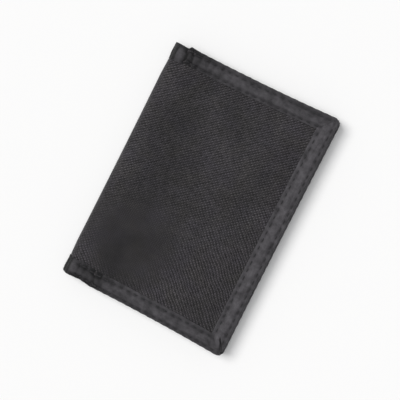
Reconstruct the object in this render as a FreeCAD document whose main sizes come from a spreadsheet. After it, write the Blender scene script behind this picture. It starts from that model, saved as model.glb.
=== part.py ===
"""Bifold wallet in woven nylon with a bound edge, closed and lying on its back cover.

The wallet's own frame has +Z up, +X from the spine to the open edge and +Y along the spine to the edge where
the note compartment opens. The origin is under the middle of the closed wallet. Sizes are in millimetres.

Each cover is a stack of layers. A layer's depth is counted from the cover's outer face inwards, so one table
of depths serves both covers. At the spine the layers bend round one line, the fold centre, half way up the
wallet. The bend is in three parts: each cover carries its first eighth of a turn, and the spine strip the
quarter turn between them. The two fold lines stand where the bend unrolls flat without changing the length of
the shell.
"""

import FreeCAD, Part
import os
import Sketcher

doc = FreeCAD.newDocument("Wallet")
sizes = doc.addObject("Spreadsheet::Sheet", "Sizes")
nodes = []

DIMENSIONS = (
    ("closed_width", 89.0, "spine to open edge, closed"),
    ("closed_height", 127.0, "along the spine"),
    ("closed_thickness", 11.0, "both covers, closed and empty"),
    ("edge_step", 0.6, "how far the back cover's open edge stands past the front cover's"),
    ("spine_draw_in", 1.0, "how much shorter the spine strip is at each end"),
    ("fold_gap", 4.0, "angle left free at each side of a fold line, degrees"),
    ("corner_radius", 1.2, "outer corners of the binding tape"),
    ("tape_thickness", 0.5, "binding tape"),
    ("tape_width", 8.5, "binding tape, as seen on the outer face"),
    ("shell_thickness", 0.6, "woven outer shell"),
    ("stiffener_thickness", 1.0, "foam board between shell and lining"),
    ("stiffener_setback", 1.5, "stiffener, from the start of the bend"),
    ("lining_thickness", 0.3, "lining behind the stiffener"),
    ("note_gap", 0.5, "note compartment, empty"),
    ("divider_thickness", 0.4, "divider between notes and pockets"),
    ("divider_drop", 0.5, "divider's top edge below the binding"),
    ("hem_thickness", 0.2, "narrow tape on the inner edges"),
    ("hem_width", 4.0, "narrow tape on the inner edges"),
    ("pocket_thickness", 0.3, "one card pocket"),
    ("pocket_count", 3, "card pockets in the front cover"),
    ("pocket_step", 13.0, "from one card pocket's top edge to the next"),
    ("pocket_drop", 10.5, "highest card pocket below the divider's top edge"),
    ("inner_start", 8.0, "spine to the inner pockets' edge"),
    ("pouch_depth", 1.0, "coin pouch, empty"),
    ("pouch_thickness", 0.4, "coin pouch panels"),
    ("pouch_drop", 1.5, "coin pouch below the divider's hem"),
    ("zip_drop", 11.0, "zip's line below the pouch's top edge"),
    ("zip_window", 7.0, "gap between the pouch panels at the zip"),
    ("zip_tape_width", 9.0, "one zip tape"),
    ("zip_tape_thickness", 0.4, "zip tape"),
    ("zip_slit", 0.8, "gap between the two halves of the chain"),
    ("coil_width", 1.8, "one half of the chain"),
    ("coil_height", 0.8, "chain above the tape"),
    ("coil_pitch", 1.5, "from one tooth to the next"),
    ("slider_length", 8.0, "zip slider"),
    ("slider_wall", 0.4, "slider's plates and post"),
    ("slider_clearance", 0.1, "slider to tape and chain"),
    ("slider_inset", 1.0, "slider from the ends of the chain"),
    ("pull_length", 12.0, "pull tab"),
    ("pull_width", 5.0, "pull tab"),
    ("window_drop", 3.5, "clear card window below the pouch panel's edge at the zip"),
    ("window_thickness", 0.3, "clear sheet"),
    ("window_border", 4.0, "tape round the clear sheet"),
    ("fastener_width", 8.0, "hook and loop strips"),
    ("fastener_gap", 0.3, "between the closed hook and loop strips"),
    ("fastener_margin", 1.0, "hook and loop strips from what they lie beside"),
    ("outer_seam_inset", 1.7, "outer row of stitches from the edge"),
    ("inner_seam_inset", 6.8, "inner row of stitches from the edge"),
    ("thread_width", 0.4, "sewing thread"),
    ("thread_depth", 0.25, "how deep the thread is sunk in the tape"),
)
for row, (alias, size, meaning) in enumerate(DIMENSIONS, start=1):
    sizes.set(f"A{row}", meaning)
    sizes.set(f"B{row}", str(size))
    sizes.setAlias(f"B{row}", alias)
doc.recompute()


def cell(alias):
    """The expression that reads one size."""
    return f"Sizes.{alias}"


def plus(*terms):
    """The sum of some expressions, in brackets."""
    return "(" + " + ".join(terms) + ")"


def less(first, *terms):
    """An expression less some others, in brackets."""
    return "(" + " - ".join((first,) + terms) + ")"


def value(expression):
    """What an expression comes to with the present sizes."""
    return float(sizes.evalExpression(expression.replace("Sizes.", "")))


# Places in the plane of the covers.
HALF_HEIGHT = f"({cell('closed_height')} / 2)"
MIDDLE = f"({cell('closed_thickness')} / 2)"
SPINE = f"(-{cell('closed_width')} / 2)"
EDGE = f"({cell('closed_width')} / 2)"
FOLD = plus(SPINE, MIDDLE)
INNER_START = plus(SPINE, cell("inner_start"))
FLANGE_END = plus(INNER_START, less(cell("hem_width"), cell("hem_thickness")))
HALF_SHELL = less(HALF_HEIGHT, cell("tape_thickness"))
TAPE_EDGE = less(HALF_HEIGHT, cell("tape_width"))
DIVIDER_TOP = less(TAPE_EDGE, cell("divider_drop"))
POUCH_EDGE = less(DIVIDER_TOP, cell("hem_width"), cell("pouch_drop"))
FASTENER_END = less(EDGE, cell("edge_step"), cell("tape_width"), cell("fastener_margin"))
FASTENER_START = less(FASTENER_END, cell("fastener_width"))

# Depths of the layers under a cover's outer face.
SHELL = cell("tape_thickness")
STIFFENER = plus(SHELL, cell("shell_thickness"))
LINING = plus(STIFFENER, cell("stiffener_thickness"))
NOTES = plus(LINING, cell("lining_thickness"))
DIVIDER = plus(NOTES, cell("note_gap"))
INSIDE = plus(DIVIDER, cell("divider_thickness"))
POCKETS_TOP = plus(INSIDE, f"{cell('pocket_count')} * {cell('pocket_thickness')}")
POUCH = plus(INSIDE, cell("pouch_depth"))
POUCH_TOP = plus(POUCH, cell("pouch_thickness"))
FASTENER_FACE = less(MIDDLE, f"{cell('fastener_gap')} / 2")


class Cover:
    """One cover: where its open edge is, and how a depth becomes a height."""

    def __init__(self, name):
        self.name = name
        self.is_back = name == "back"
        self.edge = EDGE if self.is_back else less(EDGE, cell("edge_step"))
        self.stack_top = POUCH_TOP if self.is_back else POCKETS_TOP

    def above_middle(self, depth):
        """A depth as a height over the fold centre."""
        return less(depth, MIDDLE) if self.is_back else less(MIDDLE, depth)

    def heights(self, depth, thickness):
        """Lowest and highest Z of a layer."""
        near, far = depth, plus(depth, thickness)
        if self.is_back:
            return near, far
        return less(cell("closed_thickness"), far), less(cell("closed_thickness"), near)


BACK = Cover("back")
FRONT = Cover("front")


def node(made, label):
    """Names an object as one of the wallet's pieces."""
    made.Label = label
    nodes.append(made)
    return made


def new_body(name):
    return doc.addObject("PartDesign::Body", name)


def new_sketch(body, role, offset):
    """An empty sketch on one of the body's own planes, moved along its x, y and normal."""
    made = body.newObject("Sketcher::SketchObject", "Sketch")
    plane = next(feature for feature in body.Origin.OriginFeatures if feature.Role == role)
    made.AttachmentSupport = (plane, [""])
    made.MapMode = "FlatFace"
    for axis, expression in zip("xyz", offset):
        made.setExpression(f"AttachmentOffset.Base.{axis}", expression)
    return made


def outline(sketch, corners):
    """A closed outline through corners, each tied to the sketch's origin by two expressions."""
    points = [FreeCAD.Vector(value(x), value(y), 0) for x, y in corners]
    first = sketch.GeometryCount
    for here, there in zip(points, points[1:] + points[:1]):
        sketch.addGeometry(Part.LineSegment(here, there), False)
    for i, corner in enumerate(corners):
        line = first + i
        line_before = first + (i - 1) % len(corners)
        sketch.addConstraint(Sketcher.Constraint("Coincident", line_before, 2, line, 1))
        for kind, expression in zip(("DistanceX", "DistanceY"), corner):
            tie = Sketcher.Constraint(kind, -1, 1, line, 1, value(expression))
            sketch.setExpression(f"Constraints[{sketch.addConstraint(tie)}]", expression)


def rectangle(x_from, x_to, y_from, y_to):
    return [(x_from, y_from), (x_to, y_from), (x_to, y_to), (x_from, y_to)]


def pad(body, sketch, length):
    made = body.newObject("PartDesign::Pad", "Pad")
    made.Profile = sketch
    made.setExpression("Length", length)
    return made


def revolve(body, sketch, axis, angle, is_reversed=False, is_midplane=False):
    made = body.newObject("PartDesign::Revolution", "Revolution")
    made.Profile = sketch
    made.ReferenceAxis = (sketch, [axis])
    made.Reversed = is_reversed
    made.Midplane = is_midplane
    made.setExpression("Angle", angle)
    return made


def flat_sheet(label, x, y, z):
    """A flat piece between pairs of expressions, as a padded sketch."""
    body = new_body(label)
    sketch = new_sketch(body, "XY_Plane", ("0", "0", z[0]))
    outline(sketch, rectangle(*x, *y))
    pad(body, sketch, less(z[1], z[0]))
    return body


def block(name, x, y, z):
    """A box between pairs of expressions."""
    made = doc.addObject("Part::Box", name)
    for size, axis, (low, high) in zip(("Length", "Width", "Height"), "xyz", (x, y, z)):
        made.setExpression(size, less(high, low))
        made.setExpression(f"Placement.Base.{axis}", low)
    return made


def cut(name, base, *tools):
    """base with the tools taken out of it."""
    for number, tool in enumerate(tools, start=1):
        made = doc.addObject("Part::Cut", f"{name}Cut{number}")
        made.Base = base
        made.Tool = tool
        base = made
    return base


def fuse(name, *shapes):
    made = doc.addObject("Part::MultiFuse", name)
    made.Shapes = list(shapes)
    made.Refine = True
    return made


# Layers that bend round the spine.

COVER_BEND = less("45", cell("fold_gap"))
STRIP_BEND = less("90", cell("fold_gap"), cell("fold_gap"))


def sheet_profile(depths, y_from, y_to):
    """A layer's section, as pairs of (place along Y, depth)."""
    return rectangle(y_from, y_to, *depths)


def channel_profile(end, lip, inner_face, thickness, flange_depth="0"):
    """A tape folded over an edge: (place along Y, depth). Between its legs is a stack up to inner_face."""
    wall = less(end, thickness) if value(end) > value(lip) else plus(end, thickness)
    return [
        (lip, flange_depth),
        (end, flange_depth),
        (end, plus(inner_face, thickness)),
        (lip, plus(inner_face, thickness)),
        (lip, inner_face),
        (wall, inner_face),
        (wall, plus(flange_depth, thickness)),
        (lip, plus(flange_depth, thickness)),
    ]


def cover_layer(name, cover, profile, x_to):
    """A layer of a cover: flat from the fold centre to x_to, with its own part of the bend."""
    body = new_body(name)
    corners = [(y, cover.above_middle(depth)) for y, depth in profile]
    flat = new_sketch(body, "YZ_Plane", ("0", MIDDLE, FOLD))
    outline(flat, corners)
    pad(body, flat, less(x_to, FOLD))
    bend = new_sketch(body, "YZ_Plane", ("0", MIDDLE, FOLD))
    outline(bend, corners)
    revolve(body, bend, "H_Axis", COVER_BEND, is_reversed=not cover.is_back)
    return body


def spine_layer(name, profile):
    """The same layer's quarter turn between the covers."""
    body = new_body(name)
    bend = new_sketch(body, "XY_Plane", (FOLD, "0", MIDDLE))
    outline(bend, [(less(depth, MIDDLE), y) for y, depth in profile])
    revolve(body, bend, "V_Axis", STRIP_BEND, is_midplane=True)
    return body


def full_layer(depth, thickness):
    """A layer over a cover's whole height."""
    return sheet_profile((depth, plus(depth, thickness)), f"(-{HALF_SHELL})", HALF_SHELL)


def divider_profile():
    return sheet_profile((DIVIDER, INSIDE), f"(-{HALF_SHELL})", DIVIDER_TOP)


def hem_profile():
    """The narrow tape over the divider's top edge."""
    end = plus(DIVIDER_TOP, cell("hem_thickness"))
    lip = less(DIVIDER_TOP, cell("hem_width"))
    return channel_profile(end, lip, INSIDE, cell("hem_thickness"), less(DIVIDER, cell("hem_thickness")))


def drawn_in(profile):
    """A profile for the spine strip, whose ends are shorter than the covers'."""
    return [(less(y, cell("spine_draw_in")) if value(y) > 0 else plus(y, cell("spine_draw_in")), depth)
            for y, depth in profile]


# The covers' shells, stiffeners, linings and binding.


def seam(cover, name, inset):
    """One row of thread round the three bound sides of a cover, sunk flush in the tape."""
    half = f"{cell('thread_width')} / 2"
    outer_y, inner_y = less(HALF_HEIGHT, inset, "-" + half), less(HALF_HEIGHT, inset, half)
    outer_x, inner_x = less(cover.edge, inset, "-" + half), less(cover.edge, inset, half)
    body = new_body(name)
    low, high = cover.heights("0", cell("thread_depth"))
    sketch = new_sketch(body, "XY_Plane", ("0", "0", low))
    outline(sketch, [
        (FOLD, outer_y), (outer_x, outer_y), (outer_x, f"(-{outer_y})"), (FOLD, f"(-{outer_y})"),
        (FOLD, f"(-{inner_y})"), (inner_x, f"(-{inner_y})"), (inner_x, inner_y), (FOLD, inner_y),
    ])
    pad(body, sketch, less(high, low))
    return body


def corner_edges(shape, x):
    """Numbers of the upright edges at a cover's two open corners."""
    found = []
    for number, edge in enumerate(shape.Edges, start=1):
        box = edge.BoundBox
        at_corner = abs(box.XMin - x) < 0.01 and abs(abs(box.YMin) - value(HALF_HEIGHT)) < 0.01
        if at_corner and box.XLength < 0.01 and box.YLength < 0.01:
            found.append(number)
    return found


def binding(cover):
    """Folded tape on three sides of a cover. Its top leg holds the shell alone, so that notes can go in."""
    tape, name = cell("tape_thickness"), cover.name
    low_end, low_lip = f"(-{HALF_HEIGHT})", f"(-{TAPE_EDGE})"
    side_lip, side_wall = less(cover.edge, cell("tape_width")), less(cover.edge, tape)
    top_profile = channel_profile(HALF_HEIGHT, TAPE_EDGE, NOTES, tape)
    low_profile = channel_profile(low_end, low_lip, INSIDE, tape)
    full_z = cover.heights("0", plus(cover.stack_top, tape))
    full_stack = cover.heights(SHELL, less(cover.stack_top, SHELL))
    shell_z = cover.heights("0", plus(NOTES, tape))
    shell_stack = cover.heights(SHELL, less(NOTES, SHELL))
    solid = fuse(
        f"{name}_tape_block",
        block("TapeSide", (side_lip, cover.edge), (low_end, DIVIDER_TOP), full_z),
        block("TapeLow", (INNER_START, cover.edge), (low_end, low_lip), full_z),
    )
    hollow = block("TapeHollow", (INNER_START, side_wall), (f"(-{HALF_SHELL})", DIVIDER_TOP), full_stack)
    corner_y = (DIVIDER_TOP, TAPE_EDGE)
    corner = cut(
        "TapeCornerHollow",
        block("TapeCorner", (side_lip, cover.edge), corner_y, shell_z),
        block("TapeHollowTop", (side_lip, side_wall), corner_y, shell_stack),
    )
    whole = fuse(
        f"{name}_tape",
        cover_layer(f"{name}_tape_top", cover, top_profile, cover.edge),
        cover_layer(f"{name}_tape_low", cover, low_profile, INNER_START),
        cut(f"{name}_tape_legs", solid, hollow),
        corner,
        block("TapeEnd", (side_wall, cover.edge), (TAPE_EDGE, HALF_HEIGHT), shell_z),
    )
    doc.recompute()
    rounded = doc.addObject("Part::Fillet", f"{name}_tape_rounded")
    rounded.Base = whole
    radius = value(cell("corner_radius"))
    rounded.Edges = [(number, radius, radius) for number in corner_edges(whole.Shape, value(cover.edge))]
    rows = []
    for row in ("outer", "inner"):
        label = f"{name}_{row}_seam"
        rows.append(node(seam(cover, label, cell(f"{row}_seam_inset")), label))
    return cut(f"{name}_binding", rounded, *rows)


def cover_pieces(cover):
    """Shell, stiffener, lining, divider and binding of one cover."""
    inner_edge = less(cover.edge, cell("tape_thickness"))
    name = cover.name
    shell = cover_layer(f"{name}_shell", cover, full_layer(SHELL, cell("shell_thickness")), inner_edge)
    node(shell, f"{name}_shell")
    x = (plus(FOLD, cell("stiffener_setback")), inner_edge)
    y = (f"(-{HALF_SHELL})", HALF_SHELL)
    board = flat_sheet(f"{name}_stiffener", x, y, cover.heights(STIFFENER, cell("stiffener_thickness")))
    node(board, f"{name}_stiffener")
    lining = cover_layer(f"{name}_lining", cover, full_layer(LINING, cell("lining_thickness")), inner_edge)
    node(lining, f"{name}_lining")
    node(divider(cover, inner_edge), f"{name}_divider")
    hem = cover_layer(f"{name}_divider_hem", cover, hem_profile(), less(cover.edge, cell("tape_width")))
    node(hem, f"{name}_divider_hem")
    node(binding(cover), f"{name}_binding")


def divider(cover, inner_edge):
    """The wall between notes and pockets, with the turned edge that closes the note compartment."""
    wall = cover_layer(f"{cover.name}_divider_wall", cover, divider_profile(), inner_edge)
    z = cover.heights(NOTES, cell("note_gap"))
    low = f"(-{HALF_SHELL})"
    lip = less(cover.edge, cell("tape_width"))
    side = block("TurnedSide", (lip, inner_edge), (low, DIVIDER_TOP), z)
    foot = block("TurnedFoot", (FOLD, inner_edge), (low, f"(-{TAPE_EDGE})"), z)
    return fuse(f"{cover.name}_divider", wall, side, foot)


def spine_pieces():
    """The strip between the fold lines: shell, lining, divider, hem and the two ends of the binding."""
    tape = cell("tape_thickness")
    low_end, low_lip = f"(-{HALF_HEIGHT})", f"(-{TAPE_EDGE})"
    profiles = {
        "spine_shell": full_layer(SHELL, cell("shell_thickness")),
        "spine_lining": full_layer(LINING, cell("lining_thickness")),
        "spine_divider": divider_profile(),
        "spine_divider_hem": hem_profile(),
        "spine_top_binding": channel_profile(HALF_HEIGHT, TAPE_EDGE, NOTES, tape),
        "spine_low_binding": channel_profile(low_end, low_lip, INSIDE, tape),
    }
    for name, profile in profiles.items():
        node(spine_layer(name, drawn_in(profile)), name)


# The front cover's inner side: card pockets and the hook strip.


def pocket_top(number):
    """Top edge of a card pocket, counted from 1 at the highest."""
    return less(DIVIDER_TOP, cell("pocket_drop"), f"({number} - 1) * {cell('pocket_step')}")


def card_pockets():
    cover, tape = FRONT, cell("tape_thickness")
    x = (INNER_START, less(cover.edge, tape))
    hem_x = (FLANGE_END, less(cover.edge, cell("tape_width")))
    for number in range(1, int(value(cell("pocket_count"))) + 1):
        top = pocket_top(number)
        depth = plus(INSIDE, f"{number - 1} * {cell('pocket_thickness')}")
        z = cover.heights(depth, cell("pocket_thickness"))
        name = f"card_pocket_{number}"
        node(flat_sheet(name, x, (f"(-{HALF_SHELL})", top), z), name)
        hem_z = cover.heights(plus(depth, cell("pocket_thickness")), cell("hem_thickness"))
        name = f"card_pocket_{number}_hem"
        node(flat_sheet(name, hem_x, (less(top, cell("hem_width")), top), hem_z), name)


def edge_tape(cover, name, top, x_to):
    """Narrow tape that closes the pockets' side next to the spine and, for the pouch, its top."""
    hem = cell("hem_thickness")
    low = f"(-{TAPE_EDGE})"
    start = less(INNER_START, hem)
    face = plus(cover.stack_top, hem)
    wall = block("EdgeWall", (start, INNER_START), (low, top), cover.heights(INSIDE, less(face, INSIDE)))
    flange = block("EdgeFlange", (start, FLANGE_END), (low, top), cover.heights(cover.stack_top, hem))
    pieces = [wall, flange]
    if x_to:
        end = plus(top, hem)
        y_flange = (less(end, cell("hem_width")), end)
        pieces.append(block("TopWall", (start, x_to), (top, end), cover.heights(INSIDE, less(face, INSIDE))))
        pieces.append(block("TopFlange", (start, x_to), y_flange, cover.heights(cover.stack_top, hem)))
    return node(fuse(name, *pieces), name)


def fastener_strip(cover, name):
    """A hook or loop strip beside the binding, as thick as the closed wallet leaves room for."""
    margin = cell("fastener_margin")
    lowest_hem = less(pocket_top(cell("pocket_count")), cell("hem_width"))
    y = (plus(f"(-{TAPE_EDGE})", margin), less(lowest_hem, margin))
    z = cover.heights(cover.stack_top, less(FASTENER_FACE, cover.stack_top))
    return node(flat_sheet(name, (FASTENER_START, FASTENER_END), y, z), name)


# The back cover's inner side: coin pouch with its zip, clear window and the loop strip.

ZIP = less(POUCH_EDGE, cell("zip_drop"))
ZIP_START = plus(INNER_START, cell("hem_width"), cell("coil_pitch"))
ZIP_END = less(EDGE, cell("tape_width"), cell("slider_inset"), cell("coil_pitch"))
ZIP_TAPE_EDGE = less(ZIP, f"{cell('zip_slit')} / 2", cell("zip_tape_width"))
ZIP_TAPE = less(POUCH, cell("zip_tape_thickness"))
COIL_TOP = plus(POUCH, cell("coil_height"))


def pouch_panels():
    """The panels each side of the zip. The lower one's turned edges close the pouch inside the binding."""
    cover = BACK
    half_window = f"{cell('zip_window')} / 2"
    z = cover.heights(POUCH, cell("pouch_thickness"))
    x = (INNER_START, less(cover.edge, cell("tape_thickness")))
    low = f"(-{HALF_SHELL})"
    turned_x = (less(cover.edge, cell("tape_width")), x[1])
    turned_y = (low, f"(-{TAPE_EDGE})")
    under_zip_tape = cover.heights(INSIDE, less(ZIP_TAPE, INSIDE))
    lower = fuse(
        "pouch_lower_panel",
        flat_sheet("PouchLower", x, (low, less(ZIP, half_window)), z),
        block("PouchFoot", x, turned_y, cover.heights(INSIDE, cell("pouch_depth"))),
        block("PouchSide", turned_x, (low, ZIP_TAPE_EDGE), cover.heights(INSIDE, cell("pouch_depth"))),
        block("PouchSideAtZip", turned_x, (ZIP_TAPE_EDGE, POUCH_EDGE), under_zip_tape),
    )
    node(lower, "pouch_lower_panel")
    upper = flat_sheet("pouch_upper_panel", x, (plus(ZIP, half_window), POUCH_EDGE), z)
    node(upper, "pouch_upper_panel")
    edge_tape(cover, "pouch_edge_tape", POUCH_EDGE, less(cover.edge, cell("tape_width")))


def zip_half(name, sign):
    """One tape of the zip and its half of the chain, above (+) or below (-) the zip's line."""
    cover = BACK
    slit = f"{sign} ({cell('zip_slit')} / 2)"
    near = f"({ZIP} {slit})"
    far = f"({near} {sign} {cell('zip_tape_width')})"
    y = (near, far) if sign == "+" else (far, near)
    x = (INNER_START, less(cover.edge, cell("tape_thickness")))
    tape = flat_sheet(f"zip_tape_{name}", x, y, cover.heights(ZIP_TAPE, cell("zip_tape_thickness")))
    node(tape, f"zip_tape_{name}")
    node(coil(f"zip_chain_{name}", near, sign), f"zip_chain_{name}")


def coil(name, near, sign):
    """Half of the chain: a cord along the tape's edge with a tooth at every pitch."""
    cord_from = f"({near} {sign} {cell('coil_width')} / 2)"
    far = f"({near} {sign} {cell('coil_width')})"
    body = new_body(name)
    cord = new_sketch(body, "XY_Plane", ("0", "0", POUCH))
    y_cord = (cord_from, far) if sign == "+" else (far, cord_from)
    outline(cord, rectangle(ZIP_START, ZIP_END, *y_cord))
    pad(body, cord, f"({cell('coil_height')} * 0.6)")
    tooth = new_sketch(body, "XY_Plane", ("0", "0", POUCH))
    y_tooth = (near, far) if sign == "+" else (far, near)
    outline(tooth, rectangle(ZIP_START, plus(ZIP_START, f"{cell('coil_pitch')} * 0.6"), *y_tooth))
    first = pad(body, tooth, cell("coil_height"))
    doc.recompute()
    row = body.newObject("PartDesign::LinearPattern", "Teeth")
    row.Originals = [first]
    row.Direction = (cord, ["H_Axis"])
    row.Mode = "Spacing"
    row.setExpression("Offset", cell("coil_pitch"))
    row.setExpression("Occurrences", f"floor({less(ZIP_END, ZIP_START)} / {cell('coil_pitch')})")
    body.Tip = row
    return body


def zip_stops():
    """Stops clamped over the chain's ends: a pair at the top end and one across both tapes at the other."""
    z = BACK.heights(POUCH, plus(cell("coil_height"), cell("hem_thickness")))
    slit, reach = f"{cell('zip_slit')} / 2", plus(f"{cell('zip_slit')} / 2", cell("coil_width"))
    x = (ZIP_END, plus(ZIP_END, cell("coil_pitch")))
    pair = doc.addObject("Part::Compound", "zip_top_stops")
    pair.Links = [
        flat_sheet("TopStopUpper", x, (plus(ZIP, slit), plus(ZIP, reach)), z),
        flat_sheet("TopStopLower", x, (less(ZIP, reach), less(ZIP, slit)), z),
    ]
    node(pair, "zip_top_stops")
    x = (less(ZIP_START, cell("coil_pitch")), ZIP_START)
    node(flat_sheet("zip_bottom_stop", x, (less(ZIP, reach), plus(ZIP, reach)), z), "zip_bottom_stop")


def slider():
    """Two plates joined by a post that runs in the slit, side walls over the chain, and a bail."""
    gap, wall = cell("slider_clearance"), cell("slider_wall")
    x_to = less(ZIP_END, cell("slider_inset"))
    x = (less(x_to, cell("slider_length")), x_to)
    half_width = plus(f"{cell('zip_slit')} / 2", cell("coil_width"), gap, gap, wall)
    across = (less(ZIP, half_width), plus(ZIP, half_width))
    low_plate = (less(ZIP_TAPE, gap, wall), less(ZIP_TAPE, gap))
    top_plate = (plus(COIL_TOP, gap), plus(COIL_TOP, gap, wall))
    wall_z = (plus(POUCH, gap), top_plate[1])
    post_x = (less(x[1], f"{cell('slider_length')} / 4"), x[1])
    post_y = (less(ZIP, f"{wall} / 2"), plus(ZIP, f"{wall} / 2"))
    middle = f"(({x[0]} + {x[1]}) / 2)"
    bail_x = (less(middle, f"{cell('slider_length')} / 4"), plus(middle, f"{cell('slider_length')} / 4"))
    bail_z = (top_plate[1], plus(top_plate[1], wall, wall, wall))
    hole_x = (plus(bail_x[0], wall), less(bail_x[1], wall))
    bail = cut("SliderBail", block("BailBlock", bail_x, post_y, bail_z),
               block("BailHole", hole_x, post_y, (bail_z[0], less(bail_z[1], wall))))
    body = fuse(
        "slider_body",
        block("SliderLowPlate", x, across, low_plate),
        block("SliderTopPlate", x, across, top_plate),
        block("SliderPost", post_x, post_y, (low_plate[0], top_plate[1])),
        block("SliderWallUpper", x, (less(across[1], wall), across[1]), wall_z),
        block("SliderWallLower", x, (across[0], plus(across[0], wall)), wall_z),
        bail,
    )
    node(body, "slider_body")
    pull_tab(hole_x, bail_z, gap)


def pull_tab(hole_x, bail_z, gap):
    """A flat tab that lies back over the shut chain, with an eye round one leg of the bail."""
    wall = cell("slider_wall")
    z = (plus(bail_z[0], gap), less(bail_z[1], wall, gap))
    x_to = less(hole_x[1], gap)
    half = f"{cell('pull_width')} / 2"
    tab = block("PullTab", (less(x_to, cell("pull_length")), x_to), (less(ZIP, half), plus(ZIP, half)), z)
    eye_x = (less(hole_x[0], wall, gap), plus(hole_x[0], gap))
    eye_half = plus(f"{wall} / 2", gap)
    eye = block("PullEye", eye_x, (less(ZIP, eye_half), plus(ZIP, eye_half)), z)
    node(cut("pull_tab", tab, eye), "pull_tab")


def card_window():
    """A clear sheet for a card, open at the top, with tape on its other three sides."""
    cover = BACK
    low = f"(-{TAPE_EDGE})"
    x_from = plus(INNER_START, cell("hem_width"))
    x_to = less(FASTENER_START, cell("fastener_margin"))
    top = less(ZIP, f"{cell('zip_window')} / 2", cell("window_drop"))
    z = cover.heights(POUCH_TOP, cell("window_thickness"))
    node(flat_sheet("card_window", (x_from, x_to), (low, top), z), "card_window")
    rim = cover.heights(plus(POUCH_TOP, cell("window_thickness")), cell("hem_thickness"))
    border = cell("window_border")
    whole = block("FrameBlock", (x_from, x_to), (low, top), rim)
    hole = block("FrameHole", (plus(x_from, border), less(x_to, border)), (plus(low, border), top), rim)
    node(cut("card_window_frame", whole, hole), "card_window_frame")


def check_and_write():
    """Stops on any failed object, then writes one file for each piece."""
    doc.recompute()
    failed = [made.Label for made in doc.Objects if "Invalid" in made.State or "Error" in made.State]
    if failed:
        raise RuntimeError(f"these objects failed: {failed}")
    for made in nodes:
        if made.Shape.isNull() or not made.Shape.isValid() or not made.Shape.Solids:
            raise RuntimeError(f"{made.Label} has no valid solid")
    os.makedirs("parts", exist_ok=True)
    for made in nodes:
        made.Shape.exportStep(os.path.join("parts", f"{made.Label}.step"))
        print(f"{made.Label}: {len(made.Shape.Solids)} solid(s), {made.Shape.Volume:.1f} mm3")


cover_pieces(BACK)
cover_pieces(FRONT)
spine_pieces()
card_pockets()
edge_tape(FRONT, "pocket_edge_tape", pocket_top(1), None)
fastener_strip(FRONT, "hook_strip")
pouch_panels()
zip_half("upper", "+")
zip_half("lower", "-")
zip_stops()
slider()
card_window()
fastener_strip(BACK, "loop_strip")
check_and_write()
chain = value(less(ZIP_END, ZIP_START))
print(f"slider travel: {chain - value(cell('slider_length')) - 2 * value(cell('slider_inset')):.1f} mm")
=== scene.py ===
import math
import bpy
import numpy as np
from mathutils import Matrix, Vector


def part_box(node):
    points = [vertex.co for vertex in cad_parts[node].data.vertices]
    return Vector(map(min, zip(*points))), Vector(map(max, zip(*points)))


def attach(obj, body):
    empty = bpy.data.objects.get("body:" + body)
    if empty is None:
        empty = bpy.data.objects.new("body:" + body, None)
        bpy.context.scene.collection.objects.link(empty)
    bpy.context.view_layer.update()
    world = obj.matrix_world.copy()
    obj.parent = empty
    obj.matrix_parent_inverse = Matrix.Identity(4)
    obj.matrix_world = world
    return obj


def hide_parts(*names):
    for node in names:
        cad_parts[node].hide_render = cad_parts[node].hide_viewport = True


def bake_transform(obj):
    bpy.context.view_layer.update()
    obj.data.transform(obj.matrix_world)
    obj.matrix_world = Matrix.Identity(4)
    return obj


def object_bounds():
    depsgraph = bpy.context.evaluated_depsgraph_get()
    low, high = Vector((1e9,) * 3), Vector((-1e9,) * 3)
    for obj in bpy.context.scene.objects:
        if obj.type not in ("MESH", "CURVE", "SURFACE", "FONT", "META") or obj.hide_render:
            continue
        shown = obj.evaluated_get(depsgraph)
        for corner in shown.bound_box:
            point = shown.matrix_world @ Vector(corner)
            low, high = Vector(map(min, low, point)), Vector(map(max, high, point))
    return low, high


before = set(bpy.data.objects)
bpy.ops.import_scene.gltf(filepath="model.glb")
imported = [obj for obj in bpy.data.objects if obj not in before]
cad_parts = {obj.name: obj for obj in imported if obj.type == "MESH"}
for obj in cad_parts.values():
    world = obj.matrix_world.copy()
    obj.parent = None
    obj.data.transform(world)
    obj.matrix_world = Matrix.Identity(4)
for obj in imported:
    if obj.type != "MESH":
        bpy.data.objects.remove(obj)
cadLow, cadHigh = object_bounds()
millimetre = 0.001


# measures taken from the CAD frame, in millimetres

def boxOf(node):  # lowest and highest corner of a CAD node
    low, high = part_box(node)
    return np.array(low) / millimetre, np.array(high) / millimetre


thickness = cadHigh[2] / millimetre
middle = thickness / 2
halfHeight = cadHigh[1] / millimetre
foldX = cadLow[0] / millimetre + middle  # the line that the layers bend round
covers = {
    "back": {"name": "back", "side": -1, "body": "back_cover", "edge": boxOf("back_binding")[1][0]},
    "front": {"name": "front", "side": 1, "body": "front_cover", "edge": boxOf("front_binding")[1][0]},
}


def depthOf(layer):  # how far a front layer lies under the outer face
    return thickness - boxOf("front_" + layer)[1][2]


shellDepth = depthOf("shell")
boardDepth = depthOf("stiffener")
liningDepth = depthOf("lining")
dividerDepth = depthOf("divider")
dividerTop = boxOf("front_divider")[1][1]
tapeThickness = shellDepth
tapeWidth = float(np.ptp([corner[1] for corner in boxOf("spine_top_binding")]))
insideDepth = thickness - boxOf("card_pocket_1")[1][2]
stackDepth = {"front": thickness - boxOf("card_pocket_3")[0][2], "back": boxOf("pouch_lower_panel")[1][2]}
bendRadius = middle - (shellDepth + boardDepth) / 2
quarter = bendRadius * math.pi / 2  # length of shell from mid-spine to where the cover is flat


sideBow = {"spine": 0.35, "open": 0.3, "ends": 0.9}  # how far each side draws in between its corners


def smooth(share):
    share = np.clip(share, 0, 1)
    return share * share * (3 - 2 * share)


def rise(place, start, over):  # from 0 at the start to 1 a stretch further on
    return smooth((place - start) / over)


def fade(place, start, over):
    return 1 - rise(place, start, over)


def bell(distance, width):
    return np.exp(-(distance / width) ** 2)


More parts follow.
